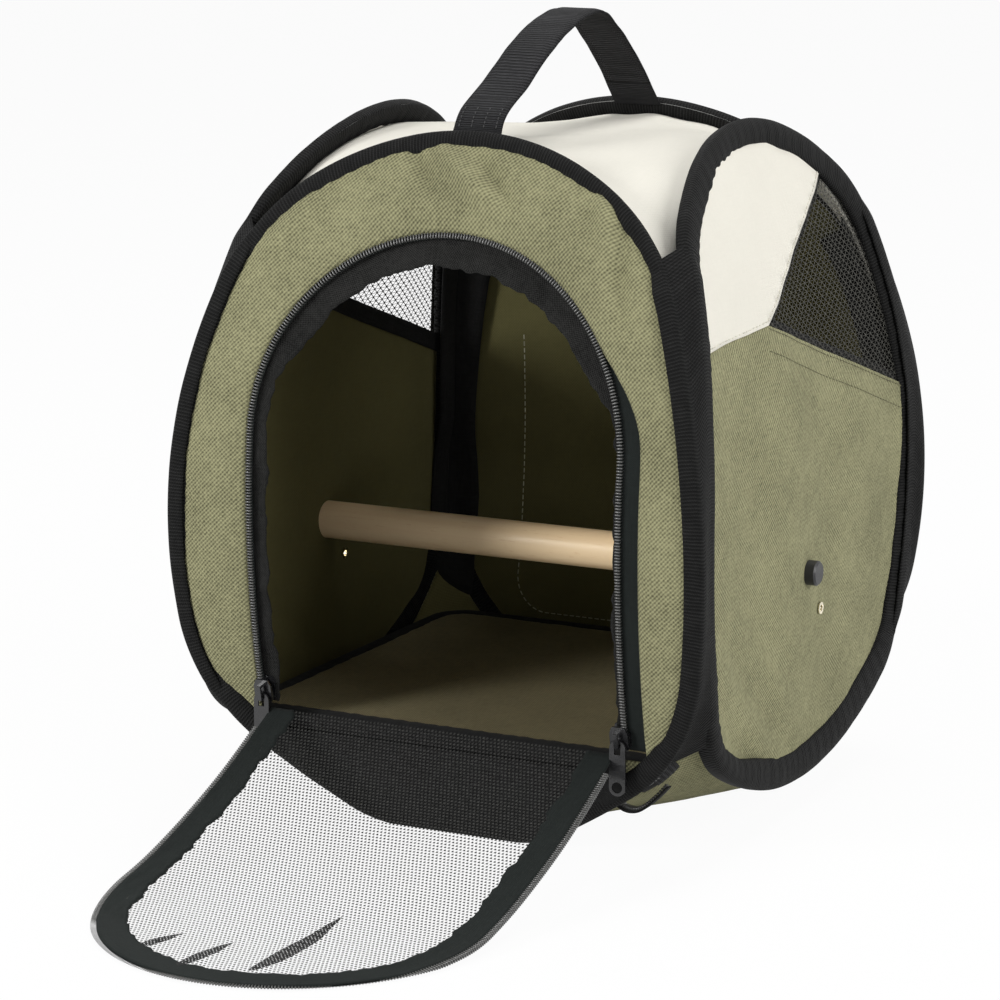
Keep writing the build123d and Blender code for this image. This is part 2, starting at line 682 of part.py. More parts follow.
def about_leg(depth, height):
    """Where a point in front of the upright wall goes when its slider runs down to its stop."""
    y = -FRONT_REACH - depth - LEG_AXIS.position.Y
    z = height - BULGE_HEIGHT
    turn = radians(SLIDER_DROP)
    return (LEG_AXIS.position.Y + y * cos(turn) - z * sin(turn),
            BULGE_HEIGHT + y * sin(turn) + z * cos(turn))


PULL_Y, PULL_Z = about_leg(PULL_DEPTH, BULGE_HEIGHT + PULL_AXIS_RISE)


def zipper_pull(centre_x):
    """Flat pull: a bar through the slider's bridge, a slot below it and a round hole."""
    top = PULL_BAR / 2
    with BuildPart() as pull:
        with BuildSketch(Plane.XZ.offset(-PULL_Y - PULL_THICKNESS / 2)):
            with Locations((centre_x, PULL_Z + top - PULL_LENGTH / 2)):
                RectangleRounded(PULL_WIDTH, PULL_LENGTH, PULL_WIDTH / 2 - PULL_ROUND_FLAT)
            with Locations((centre_x, PULL_Z - top - PULL_SLOT_LENGTH / 2)):
                Rectangle(PULL_SLOT_WIDTH, PULL_SLOT_LENGTH, mode=Mode.SUBTRACT)
            with Locations((centre_x, PULL_Z + top - PULL_LENGTH + PULL_WIDTH / 2)):
                Circle(PULL_HOLE_RADIUS, mode=Mode.SUBTRACT)
        extrude(amount=PULL_THICKNESS)
    return pull.part


for side, name in ((-1, "left"), (1, "right")):
    save(zipper_slider(side * DOOR_HALF_WIDTH), f"{name}_zipper_slider")
    save(zipper_pull(side * DOOR_HALF_WIDTH), f"{name}_zipper_pull")

# ---------------------------------------------------------------- perch
perch_end = RIGHT.face_at(PERCH_HEIGHT, -HALF_PANEL) - GAP
knob_base = RIGHT.face_at(PERCH_HEIGHT, HALF_PANEL) + GAP

with BuildPart() as perch_rod:
    with BuildSketch(Plane.YZ):
        with Locations((PERCH_Y, PERCH_HEIGHT)):
            Circle(PERCH_RADIUS)
    extrude(amount=perch_end, both=True)
    for end_plane in (Plane.YZ.offset(perch_end), Plane.YZ.offset(-perch_end)):
        with BuildSketch(end_plane):
            with Locations((PERCH_Y, PERCH_HEIGHT)):
                Circle(SCREW_RADIUS + SCREW_PLAY)
        extrude(amount=SCREW_DEPTH + 2 * GAP, both=True, mode=Mode.SUBTRACT)
save(perch_rod.part, "perch_rod")

with BuildPart() as perch_screw:
    with BuildSketch(Plane.YZ.offset(perch_end - SCREW_DEPTH)):
        with Locations((PERCH_Y, PERCH_HEIGHT)):
            Circle(SCREW_RADIUS)
    extrude(amount=knob_base - perch_end + SCREW_DEPTH)
    with BuildSketch(Plane.YZ.offset(knob_base)):
        with Locations((PERCH_Y, PERCH_HEIGHT)):
            Circle(SCREW_HEAD_RADIUS)
    extrude(amount=SCREW_HEAD_HEIGHT)
save(perch_screw.part, "right_perch_screw")
save(mirrored(perch_screw.part, Plane.YZ), "left_perch_screw")

with BuildPart() as perch_knob:
    with BuildSketch(Plane.YZ.offset(knob_base)):
        with Locations((PERCH_Y, PERCH_HEIGHT)):
            Circle(KNOB_RADIUS)
    extrude(amount=KNOB_LENGTH)
    chamfer(perch_knob.edges().group_by(Axis.X)[-1], KNOB_ROUND)
    with BuildSketch(Plane.YZ.offset(knob_base)):
        with Locations((PERCH_Y, PERCH_HEIGHT)):
            Circle(SCREW_HEAD_RADIUS + SCREW_PLAY)
    extrude(amount=SCREW_HEAD_HEIGHT + SCREW_PLAY, mode=Mode.SUBTRACT)
save(perch_knob.part, "right_perch_knob")
save(mirrored(perch_knob.part, Plane.YZ), "left_perch_knob")

with BuildPart() as spare_eyelet:
    outer_face = RIGHT.face_at(SPARE_EYELET_HEIGHT, HALF_PANEL) + SCREW_PLAY
    inner_face = RIGHT.face_at(SPARE_EYELET_HEIGHT, -HALF_PANEL) - SCREW_PLAY
    for start, length, radius in (
            (outer_face, EYELET_SHEET, EYELET_FLANGE),
            (inner_face, outer_face - inner_face, EYELET_BORE + EYELET_WALL),
            (inner_face - EYELET_SHEET, EYELET_SHEET, EYELET_FLANGE)):
        with BuildSketch(Plane.YZ.offset(start)):
            with Locations((SPARE_EYELET_Y, SPARE_EYELET_HEIGHT)):
                Circle(radius)
                Circle(EYELET_BORE, mode=Mode.SUBTRACT)
        extrude(amount=length)
save(spare_eyelet.part, "right_eyelet")
save(mirrored(spare_eyelet.part, Plane.YZ), "left_eyelet")

# ---------------------------------------------------------------- carrying handle
with BuildPart() as carry_handle:
    with BuildSketch(Plane.YZ):
        with BuildLine():
            bow = ThreePointArc(*STRAP_RISE)
            for point in STRAP_FALL:
                bow = TangentArc(bow @ 1, point, tangent=bow % 1)
        trace(line_width=STRAP_THICKNESS)
        with Locations((STRAP_FRONT_END - FAR / 2, HOOP_HEIGHT)):
            Rectangle(FAR, FAR, mode=Mode.SUBTRACT)
    extrude(amount=STRAP_WIDTH / 2, both=True)
save(carry_handle.part, "carry_handle")

with BuildPart() as handle_anchors:
    with BuildSketch(Plane.YZ):
        with BuildLine():
            Polyline(ANCHOR_FRONT_PATH)
        trace(line_width=STRAP_THICKNESS)
        with BuildLine():
            Polyline(ANCHOR_REAR_PATH)
        trace(line_width=STRAP_THICKNESS)
        with Locations((STRAP_FRONT_END - GAP + STRAP_WIDTH / 2, HOOP_HEIGHT)):
            Rectangle(STRAP_WIDTH, FAR, mode=Mode.SUBTRACT)
    extrude(amount=STRAP_WIDTH / 2, both=True)
save(handle_anchors.part, "handle_anchors")
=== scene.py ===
"""Bird travel carrier: a cloth cabin on bowed spring hoops, with its net door folded down.

Everything is in metres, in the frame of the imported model: X runs to the right, Y to the back
and Z up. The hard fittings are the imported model's own nodes. Every soft piece is built here.
"""
from __future__ import annotations

import functools
import logging
import math
import sys
from collections.abc import Callable, Iterable, Sequence
from dataclasses import dataclass, field
from enum import Enum
from typing import NamedTuple

import bmesh
import bpy
from mathutils import Matrix, Vector, noise


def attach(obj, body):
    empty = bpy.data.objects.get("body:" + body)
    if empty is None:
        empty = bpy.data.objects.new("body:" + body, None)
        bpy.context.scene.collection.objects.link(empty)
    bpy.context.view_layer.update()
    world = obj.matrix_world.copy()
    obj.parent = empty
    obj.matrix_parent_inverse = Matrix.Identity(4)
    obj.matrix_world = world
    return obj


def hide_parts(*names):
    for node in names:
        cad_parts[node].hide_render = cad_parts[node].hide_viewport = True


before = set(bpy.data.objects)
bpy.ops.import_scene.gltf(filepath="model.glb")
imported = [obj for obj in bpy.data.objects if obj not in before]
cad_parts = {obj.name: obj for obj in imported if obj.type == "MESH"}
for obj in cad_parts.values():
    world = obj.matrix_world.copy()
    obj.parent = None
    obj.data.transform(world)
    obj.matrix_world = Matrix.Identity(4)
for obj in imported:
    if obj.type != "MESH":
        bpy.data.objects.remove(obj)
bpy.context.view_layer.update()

LOG = logging.getLogger("carrier")
MM = 0.001
TOOTH_ROUNDING = 0.2 * MM
Place = tuple[Vector, tuple[float, float]]
Placing = Callable[[float, float], Place]


# ------------------------------------------------------------------ shader maths
class Value:
    """A number, colour or vector that varies over a surface; arithmetic adds Math nodes."""

    def __init__(self, graph: Graph, socket: bpy.types.NodeSocket) -> None:
        self.graph = graph
        self.socket = socket

    def math(self, operation: str, *others: Value | float) -> Value:
        """Put this value through a Math node.

        Args:
            operation: The Math node's operation.
            others: The values of its other sockets.

        Returns:
            The node's result.
        """
        inputs = dict(enumerate((self, *others)))
        return self.graph.node("ShaderNodeMath", {"operation": operation}, inputs)

    def output(self, name: str) -> Value:
        """Another output of the same node."""
        return Value(self.graph, self.socket.node.outputs[name])

    def __add__(self, other: Value | float) -> Value:
        """This plus the other."""
        return self.math("ADD", other)

    def __mul__(self, other: Value | float) -> Value:
        """This times the other."""
        return self.math("MULTIPLY", other)

    def __sub__(self, other: Value | float) -> Value:
        """This less the other."""
        return self.math("SUBTRACT", other)

    def __pow__(self, other: float) -> Value:
        """This to a power."""
        return self.math("POWER", other)

    def sine(self, pitch: float) -> Value:
        """A wave from -1 to 1 that repeats each `pitch`."""
        return (self * (2 * math.pi / pitch)).math("SINE")

    def off_line(self) -> Value:
        """0 halfway between whole numbers and 0.5 on them."""
        return (self.math("FRACT") - 0.5).math("ABSOLUTE")

    def above(self, limit: Value | float) -> Value:
        """1 where this is above the limit, and 0 elsewhere."""
        return self.math("GREATER_THAN", limit)

    def most(self, other: Value | float) -> Value:
        """The larger of the two."""
        return self.math("MAXIMUM", other)

    def squeezed(self, low: float, high: float) -> Value:
        """0 at `low`, 1 at `high` and even in between."""
        return ((self - low) * (1 / (high - low))).math("MAXIMUM", 0.0).math("MINIMUM", 1.0)


class Graph:
    """The nodes of one material or of the world."""

    def __init__(self, tree: bpy.types.NodeTree,
                 material: bpy.types.Material | None = None) -> None:
        self.tree = tree
        self.material = material
        tree.nodes.clear()

    @classmethod
    def of(cls, name: str) -> Graph:
        """The nodes of a new material."""
        material = bpy.data.materials.new(name)
        material.use_nodes = True
        return cls(material.node_tree, material)

    def node(self, kind: str, settings: dict | None = None, inputs: dict | None = None) -> Value:
        """Add a node.

        Args:
            kind: The node's type.
            settings: Its own settings, which are set first. "stops" are a ramp's stops.
            inputs: Values or links of its sockets, by name or number.

        Returns:
            The node's first output, or None for one that has no output.
        """
        made = self.tree.nodes.new(kind)
        for name, setting in (settings or {}).items():
            if name == "stops":
                for stop, (position, colour) in zip(self._stops(made, len(setting)), setting):
                    stop.position, stop.color = position, (*colour, 1.0)
            else:
                setattr(made, name, setting)
        for key, value in (inputs or {}).items():
            if isinstance(value, Value):
                self.tree.links.new(value.socket, made.inputs[key])
            else:
                made.inputs[key].default_value = value
        return Value(self, made.outputs[0]) if made.outputs else None

    @staticmethod
    def _stops(made: bpy.types.Node, count: int) -> list[bpy.types.ColorRampElement]:
        """The stops of a ramp, as many as asked for."""
        elements = made.color_ramp.elements
        while len(elements) < count:
            elements.new(1.0)
        return list(elements)

    def spot(self) -> Value:
        """Where a point of the piece is, in metres."""
        return self.node("ShaderNodeTexCoord").output("Object")

    def axes(self, vector: Value) -> tuple[Value, Value, Value]:
        """A vector's three parts."""
        parts = self.node("ShaderNodeSeparateXYZ", {}, {0: vector})
        return parts, parts.output("Y"), parts.output("Z")

    def cloth_map(self) -> tuple[Value, Value]:
        """Where a point is on the flat cloth, in metres, along it and across it."""
        along, across, _ = self.axes(self.node("ShaderNodeUVMap", {"uv_map": "cloth"}))
        return along, across

    def vector(self, x: Value | float, y: Value | float, z: Value | float = 0.0) -> Value:
        """A vector from its three parts."""
        return self.node("ShaderNodeCombineXYZ", {}, {0: x, 1: y, 2: z})

    def blotches(self, where: Value, scale: float, detail: float = 2.0) -> Value:
        """Noise from about 0.3 to 0.7, with `scale` blotches to the metre."""
        return self.node("ShaderNodeTexNoise", {}, {"Vector": where, "Scale": scale,
                                                    "Detail": detail, "Roughness": 0.55})

    def ramp(self, factor: Value, stops: Sequence[tuple[float, tuple]]) -> Value:
        """The colour that a factor picks from the stops."""
        return self.node("ShaderNodeValToRGB", {"stops": stops}, {0: factor})

    def raised(self, height: Value, depth: float, strength: float = 1.0) -> Value:
        """The normal of a relief that is `depth` metres deep."""
        return self.node("ShaderNodeBump", {}, {"Strength": strength, "Distance": depth,
                                                "Height": height})

    def surface(self, **sockets: Value | float | tuple) -> bpy.types.Material:
        """Close the material with its shader.

        Args:
            sockets: The shader's sockets, with underscores for spaces.

        Returns:
            The finished material.
        """
        inputs = {name.replace("_", " "): value for name, value in sockets.items()}
        shader = self.node("ShaderNodeBsdfPrincipled", {}, inputs)
        self.node("ShaderNodeOutputMaterial", {}, {"Surface": shader})
        return self.material


def tinted(colour: tuple, share: float) -> tuple:
    """A colour made lighter or darker by a share."""
    return tuple(channel * share for channel in colour)


# ------------------------------------------------------------------ finishes
@dataclass(frozen=True)
class Finish:
    """What every finish has: its own name and the record's slot that it comes from."""

    name: str
    slot: str

    def dress(self, graph: Graph) -> bpy.types.Material:
        """Build the finish's nodes.

        Args:
            graph: The material's nodes.

        Returns:
            The finished material.
        """
        raise NotImplementedError


@functools.cache
def material_of(finish: Finish) -> bpy.types.Material:
    """The one material that a finish has."""
    return finish.dress(Graph.of(finish.name))


@dataclass(frozen=True)
class Canvas(Finish):
    """Coarse plain-woven polyester cloth: over-and-under threads, slubs and faint blotches."""

    colour: tuple[float, float, float]
    pitch: float = 1.5 * MM
    contrast: float = 0.27
    relief: float = 0.25 * MM
    twill: float = 0.3
    holes: tuple[tuple[float, float, float], ...] = ()

    def dress(self, graph: Graph) -> bpy.types.Material:
        """Build the weave."""
        along, across = graph.cloth_map()
        flat = graph.vector(along, across)
        drift = (graph.blotches(flat, 45.0) - 0.5) * (2.2 * MM)
        rising = (along - across + drift).sine(self.pitch) * (0.5 + self.twill / 2)
        falling = (along + across + drift * 0.7).sine(self.pitch) * (0.5 - self.twill / 2)
        crossing = rising - falling
        slub_along = graph.blotches(graph.vector(along * 0.16, across), 900.0)
        slub_across = graph.blotches(graph.vector(along, across * 0.16), 900.0)
        cloudy = graph.blotches(flat, 28.0, 4.0)
        level = (crossing * 0.34 + (slub_along - 0.5) * 0.5 + (slub_across - 0.5) * 0.5
                 + (cloudy - 0.5) * 0.5 + 0.5)
        shade = graph.ramp(level, ((0.1, tinted(self.colour, 1 - 1.3 * self.contrast)),
                                   (0.5, self.colour),
                                   (0.9, tinted(self.colour, 1 + self.contrast))))
        normal = graph.raised(crossing * 0.5 + slub_along + slub_across, self.relief)
        sockets = {"Base_Color": shade, "Roughness": 0.88, "Normal": normal,
                   "Specular_IOR_Level": 0.10, "Sheen_Weight": 0.015, "Sheen_Roughness": 0.5}
        if self.holes:
            sockets["Alpha"] = self._open(graph)
        return graph.surface(**sockets)

    def _open(self, graph: Graph) -> Value:
        """1 on the cloth and 0 inside the punched holes of the side walls."""
        _, depth, height = graph.axes(graph.spot())
        cover: Value | None = None
        for hole_y, hole_z, radius in self.holes:
            away = ((depth - hole_y) ** 2.0 + (height - hole_z) ** 2.0) ** 0.5
            kept = away.above(radius)
            cover = kept if cover is None else cover * kept
        return cover


@dataclass(frozen=True)
class RibbedTape(Finish):
    """Woven binding tape or webbing: raised ribs across it, fine threads, and painted highlights
    on the ribs and in soft blotches.
    """

    colour: tuple[float, float, float]
    rib: float = 1.6 * MM
    relief: float = 0.42 * MM
    gloss: float = 0.09

    def dress(self, graph: Graph) -> bpy.types.Material:
        """Build the ribs."""
        along, across = graph.cloth_map()
        flat = graph.vector(along, across)
        drift = (graph.blotches(flat, 70.0) - 0.5) * (1.6 * MM)
        ribs = (along + drift).sine(self.rib) * 0.5 + 0.5
        twill = (across + along * 0.5).sine(self.rib * 0.62) * 0.5 + 0.5
        # Soft blotches that lighten and darken the colour: painted highlights on the tape.
        sheen_blotches = graph.blotches(flat, 160.0, 4.0)
        fuzz = graph.blotches(flat, 2600.0)
        # The ribs also tint the colour, lighter on their ridges and darker between them: painted
        # highlight and shade. Their bump below is their relief.
        level = ribs * 0.52 + twill * 0.14 + (sheen_blotches - 0.5) * 0.55 + (fuzz - 0.5) * 0.45 + 0.10
        shade = graph.ramp(level, ((0.05, tinted(self.colour, 0.3)),
                                   (0.5, self.colour),
                                   (0.95, tinted(self.colour, 3.0))))
        return graph.surface(Base_Color=shade, Roughness=0.7, Specular_IOR_Level=self.gloss,
                             Sheen_Weight=0.01, Sheen_Roughness=0.45,
                             Normal=graph.raised(ribs * 0.8 + twill * 0.35, self.relief))


@dataclass(frozen=True)
class OpenNet(Finish):
    """Knitted net: two slanting sets of threads with a knot at each crossing, open between."""

    colour: tuple[float, float, float]
    pitch: float
    thread: float
    knot: float
    slant: float = 1.0
    row: float = 0.0
    bead: float = 0.0

    def beads(self, along: Value, across: Value) -> Value:
        """Short knots in staggered rows, instead of the ones at the crossings."""
        rows = across * (2 / self.pitch)
        column = along * (self.slant / self.pitch) + rows.math("FLOOR") * 0.5
        edge = 0.5 - self.bead / 2
        return column.off_line().above(edge) * (rows + 0.5).off_line().above(edge)

    def dress(self, graph: Graph) -> bpy.types.Material:
        """Build the threads and cut out the holes between them."""
        along, across = graph.cloth_map()
        flat = graph.vector(along, across)
        drift = (graph.blotches(flat, 60.0) - 0.5) * (1.5 * MM)
        rising = ((along + drift) * self.slant + across) * (1 / self.pitch)
        falling = ((along + drift) * self.slant - across) * (1 / self.pitch)
        off_rising, off_falling = rising.off_line(), falling.off_line()
        threads = off_rising.most(off_falling).above(0.5 - self.thread / 2)
        knots = (off_rising + off_falling).above(1.0 - self.knot)
        if self.bead:
            knots = self.beads(along + drift * 0.3, across)
        rows = (across * (2 / self.pitch)).off_line().above(0.5 - self.row / 2)
        worn = graph.blotches(flat, 300.0, 3.0)
        shade = graph.ramp(worn, ((0.3, tinted(self.colour, 0.6)),
                                  (0.7, tinted(self.colour, 1.5))))
        relief = graph.raised(off_rising.most(off_falling), 0.25 * MM)
        return graph.surface(Base_Color=shade, Roughness=0.65, Specular_IOR_Level=0.15,
                             Alpha=threads.most(knots).most(rows), Normal=relief)


@dataclass(frozen=True)
class Moulded(Finish):
    """Plain nylon, plastic or enamel: one colour with a fine grain and uneven gloss."""

    colour: tuple[float, float, float]
    roughness: float
    grain: float = 1500.0
    relief: float = 0.03 * MM
    metal: float = 0.0
    coat: float = 0.0

    def dress(self, graph: Graph) -> bpy.types.Material:
        """Build the grain."""
        spot = graph.spot()
        fine, wide = graph.blotches(spot, self.grain), graph.blotches(spot, 220.0, 4.0)
        shade = graph.ramp(wide, ((0.3, tinted(self.colour, 0.8)),
                                  (0.7, tinted(self.colour, 1.25))))
        gloss = (wide - 0.5) * 0.3 + self.roughness
        return graph.surface(Base_Color=shade, Roughness=gloss, Metallic=self.metal,
                             Coat_Weight=self.coat, Normal=graph.raised(fine, self.relief))


@dataclass(frozen=True)
class TurnedWood(Finish):
    """Smooth beech dowel: long grain along it, short dark flecks and growth bands."""

    light: tuple[float, float, float]
    dark: tuple[float, float, float]

    def dress(self, graph: Graph) -> bpy.types.Material:
        """Build the grain along the dowel."""
        along, depth, height = graph.axes(graph.spot())
        grain = graph.blotches(graph.vector(along * 5.0, depth * 160.0, height * 160.0), 1.0, 5.0)
        bands = graph.blotches(graph.vector(along * 2.0, depth * 42.0, height * 42.0), 1.0, 2.0)
        flecks = graph.blotches(graph.vector(along * 130.0, depth * 1100.0, height * 1100.0), 1.0)
        level = grain * 0.6 + bands * 0.5 - flecks.squeezed(0.62, 0.75) * 0.25
        shade = graph.ramp(level, ((0.38, self.dark), (0.72, self.light)))
        return graph.surface(Base_Color=shade, Roughness=(grain * 0.2 + 0.40),
                             Specular_IOR_Level=0.4, Coat_Weight=0.06,
                             Normal=graph.raised(grain + flecks * 0.3, 0.06 * MM))


OLIVE = (0.236, 0.229, 0.130)
IVORY = (0.73, 0.705, 0.628)
BLACK = (0.0085, 0.0085, 0.0083)
PUNCHED = ((0.017, 0.096, 1.7 * MM), (0.0, 0.117, 2.2 * MM))

OLIVE_CANVAS = Canvas("olive_canvas", "olive_cloth", OLIVE, pitch=2.1 * MM, contrast=0.48,
                      relief=0.35 * MM)
# A little lighter than OLIVE, the same olive cloth: painted light on the side walls, which are lit
# more than the front.
OLIVE_SIDE = Canvas("olive_side_canvas", "olive_cloth", (0.246, 0.239, 0.138), pitch=2.3 * MM,
                    contrast=0.5, twill=0.6, holes=PUNCHED)
# A darker copy of the olive cloth for the inner sides of the rear, side and base cloths: painted
# shade of the cabin's inside.
OLIVE_INSIDE_SHADED = Canvas("olive_inside_painted_shade", "olive_cloth", (0.125, 0.114, 0.048), contrast=0.12,
                      relief=0.05 * MM, twill=0.0, holes=PUNCHED)
# The board's olive cloth, darker than the walls': partly its own tone, partly painted shade of the
# cabin's inside.
OLIVE_BOARD = Canvas("olive_board_cloth", "olive_cloth", (0.185, 0.158, 0.085), contrast=0.3,
                     twill=0.0)
IVORY_CANVAS = Canvas("ivory_canvas", "ivory_cloth", IVORY, pitch=1.2 * MM, contrast=0.03,
                      relief=0.08 * MM)
# A lighter copy of the ivory cloth, for the roof only: painted light from above.
IVORY_ROOF = Canvas("ivory_roof_canvas", "ivory_cloth", (0.80, 0.775, 0.695), pitch=1.2 * MM,
                    contrast=0.03, relief=0.08 * MM)
BLACK_CLOTH = Canvas("black_fine_cloth", "black_webbing", (0.014, 0.014, 0.014), pitch=0.9 * MM,
                     contrast=0.5, relief=0.12 * MM)
PLACKET_CLOTH = Canvas("black_rough_cloth", "black_webbing", (0.019, 0.019, 0.018),
                       pitch=1.3 * MM, contrast=0.75, relief=0.4 * MM, twill=0.0)
BORDER_CLOTH = Canvas("door_border_cloth", "black_webbing", (0.014, 0.017, 0.016),
                      pitch=0.9 * MM, contrast=0.3, relief=0.1 * MM)
BINDING = RibbedTape("binding_tape", "black_webbing", BLACK)
WEBBING = RibbedTape("strap_webbing", "black_webbing", (0.017, 0.017, 0.018), rib=2.1 * MM,
                     relief=0.5 * MM)
DOOR_NET = OpenNet("door_net", "black_mesh", (0.036, 0.036, 0.034), 4.3 * MM, 0.03, 0.40, 2.25,
                   bead=0.5)
# Denser net where the door's net lies doubled in its creases, in a darker colour than the door's
# net: painted shade in the creases.
PLEAT_NET = OpenNet("door_net_doubled_shaded", "black_mesh", (0.014, 0.014, 0.014), 2.2 * MM, 0.40,
                    0.75, 1.2)
SIDE_NET = OpenNet("side_net", "black_mesh", (0.038, 0.037, 0.032), 4.2 * MM, 0.15, 0.28, 0.75,
                   0.12)
# Dark grey coil, lighter than the black tapes: partly the nylon's tone, partly painted glints.
NYLON = Moulded("coil_nylon", "black_coil", (0.075, 0.075, 0.072), 0.34, coat=0.4)
ENAMEL = Moulded("slider_enamel", "slider_enamel", (0.012, 0.012, 0.013), 0.22, coat=0.5)
KNOB_PLASTIC = Moulded("knob_plastic", "knob_plastic", (0.013, 0.013, 0.014), 0.45,
                       relief=0.06 * MM)
SPRING_STEEL = Moulded("spring_steel", "spring_steel", (0.42, 0.43, 0.45), 0.32, metal=1.0)
SCREW_STEEL = Moulded("screw_steel", "screw_steel", (0.5, 0.5, 0.52), 0.3, metal=1.0)
BRASS = Moulded("eyelet_brass", "eyelet_brass", (0.83, 0.76, 0.58), 0.26, metal=1.0)
# The wood's light tone is paler than plain beech: partly its colour, partly painted light on the
# perch inside the dark cabin.
DOWEL = TurnedWood("perch_dowel", "perch_wood", (0.95, 0.73, 0.46), (0.84, 0.59, 0.33))
OLIVE_THREAD = Moulded("olive_thread", "olive_cloth", (0.12, 0.115, 0.06), 0.8)
PALE_THREAD = Moulded("pale_thread", "olive_cloth", (0.45, 0.44, 0.33), 0.8)
IVORY_THREAD = Moulded("ivory_thread", "ivory_cloth", (0.60, 0.58, 0.50), 0.8)
BLACK_THREAD = Moulded("black_thread", "black_webbing", (0.03, 0.03, 0.03), 0.7)


# ------------------------------------------------------------------ surfaces and outlines
class Footing(NamedTuple):
    """A place on a surface, the way a row runs there and the way out of the surface."""

    place: Vector
    along: Vector
    outward: Vector

    def turned(self, size: Vector) -> Matrix:
        """The matrix that puts a unit block of that size here."""
        across = self.outward.cross(self.along).normalized()
        turn = Matrix((self.along, across, self.outward)).transposed().to_4x4()
        return Matrix.Translation(self.place) @ turn @ Matrix.Diagonal(size).to_4x4()


@dataclass(frozen=True)
class Wall:
    """A bowed wall: which way it runs and faces, how far out it is and how it bows."""

    across: tuple[float, float]
    outward: tuple[float, float]
    reach: float
    radius_low: float
    radius_high: float
    bulge: float = 0.155

    def place(self, across: float, height: float, depth: float = 0.0) -> Vector:
        """A point of the wall.

        Args:
            across: How far along the wall from its middle.
            height: The height at which the point lies in the wall's middle layer.
            depth: How far outside the middle layer it is.

        Returns:
            The point.
        """
        radius = self.radius_low if height < self.bulge else self.radius_high
        lean = math.asin((height - self.bulge) / radius)
        out = self.reach - radius + (radius + depth) * math.cos(lean)
        return Vector((self.across[0] * across + self.outward[0] * out,
                       self.across[1] * across + self.outward[1] * out,
                       self.bulge + (radius + depth) * math.sin(lean)))

    def face_at(self, height: float, depth: float) -> float:
        """How far out the layer at a depth is at a height."""
        radius = self.radius_low if height < self.bulge else self.radius_high
        rise = height - self.bulge
        return self.reach - radius + math.sqrt((radius + depth) ** 2 - rise**2)

    def footing(self, across: float, height: float, heading: float, depth: float) -> Footing:
        """A place on the wall for a stitch or a tooth.

        Args:
            across: How far along the wall from its middle.
            height: Its height.
            heading: The angle of its row from level.
            depth: How far outside the middle layer it is.

        Returns:
            The place and its directions.
        """
        here = self.place(across, height, depth)
        step = 0.5 * MM
        ahead = self.place(across + step * math.cos(heading), height + step * math.sin(heading),
                           depth)
        out = self.place(across, height, depth + step)
        return Footing(here, (ahead - here).normalized(), (out - here).normalized())


FRONT = Wall((1.0, 0.0), (0.0, -1.0), 0.1365, 0.440, 0.345)
REAR = Wall((1.0, 0.0), (0.0, 1.0), 0.1365, 0.440, 0.345)


def side_wall(side: int) -> Wall:
    """The left (-1) or right (1) wall."""
    return Wall((0.0, 1.0), (float(side), 0.0), 0.1311, 3.2, 0.404)


class Run(NamedTuple):
    """One arc of an outline, or a straight where the radius is infinite."""

    start: float
    point: Vector
    heading: float
    radius: float

    def at(self, length: float) -> tuple[Vector, float]:
        """The point and heading at a length from the start of the outline."""
        gone = length - self.start
        if math.isinf(self.radius):
            step = Vector((math.cos(self.heading), math.sin(self.heading)))
            return self.point + gone * step, self.heading
        heading = self.heading + gone / self.radius
        to_centre = Vector((-math.sin(self.heading), math.cos(self.heading)))
        outward = Vector((math.sin(heading), -math.cos(heading)))
        return self.point + self.radius * (to_centre + outward), heading


@dataclass(eq=False)
class Hoop:
    """A hoop's closed outline, the same left and right, as arcs from its flat upwards."""

    flat: float
    base: float
    arcs: Sequence[tuple[float, float]]
    runs: list[Run] = field(init=False, default_factory=list)
    length: float = field(init=False, default=0.0)

    def __post_init__(self) -> None:
        """Chain the arcs and close the outline over the top."""
        point, heading, start = Vector((self.flat, self.base)), 0.0, self.flat
        if self.flat:
            self.runs.append(Run(0.0, Vector((0.0, self.base)), 0.0, math.inf))
        for radius, turn in self.arcs:
            run = Run(start, point, heading, radius)
            self.runs.append(run)
            start += radius * math.radians(turn)
            point, heading = run.at(start)
        closing = point.x / math.sin(heading)
        self.runs.append(Run(start, point, heading, closing))
        self.length = 2 * (start + closing * (math.pi - heading))

    def station(self, share: float, inset: float = 0.0) -> tuple[float, float]:
        """A point of the outline.

        Args:
            share: How far round, from the middle of the base up the right side first.
            inset: How far inside the outline.

        Returns:
            Its place across and its height.
        """
        length = (share % 1.0) * self.length
        left = length > self.length / 2
        if left:
            length = self.length - length
        run = [run for run in self.runs if run.start <= length + 1e-9][-1]
        point, heading = run.at(length)
        across = point.x - inset * math.sin(heading)
        return (-across if left else across), point.y + inset * math.cos(heading)

    def levels(self, rows: int, inset: float) -> list[tuple[float, float]]:
        """Half width and height of evenly spaced stations, from the base to the top."""
        first = self.flat / self.length
        return [self.station(first + (0.4999999 - first) * row / rows, inset)
                for row in range(rows + 1)]

    @functools.cache
    def branch(self, inset: float, upper: bool) -> list[tuple[float, float]]:
        """The outline's upper or lower right quarter, from the middle outwards."""
        stations = [self.station(step / 600, inset) for step in range(301)]
        widest = max(range(301), key=lambda index: stations[index][0])
        return stations[:widest - 1:-1] if upper else stations[:widest + 1]

    def edge(self, across: float, inset: float, upper: bool) -> float:
        """Height of the upper or lower branch over a place across."""
        stations = self.branch(inset, upper)
        for (x0, z0), (x1, z1) in zip(stations, stations[1:]):
            if x1 >= abs(across) > x0:
                return z0 + (z1 - z0) * (abs(across) - x0) / (x1 - x0)
        return stations[0][1] if abs(across) <= stations[0][0] else stations[-1][1]


FRONT_HOOP = Hoop(0.028, 0.0, ((0.0562, 30.5), (0.672, 4.0), (0.0901, 48.2), (0.3418, 27.2),
                               (0.1007, 39.0)))
SIDE_HOOP = Hoop(0.0, 0.016, ((0.2044, 28.8), (0.0453, 45.6), (0.3132, 28.5), (0.6323, 4.7),
                              (0.0516, 34.9)))


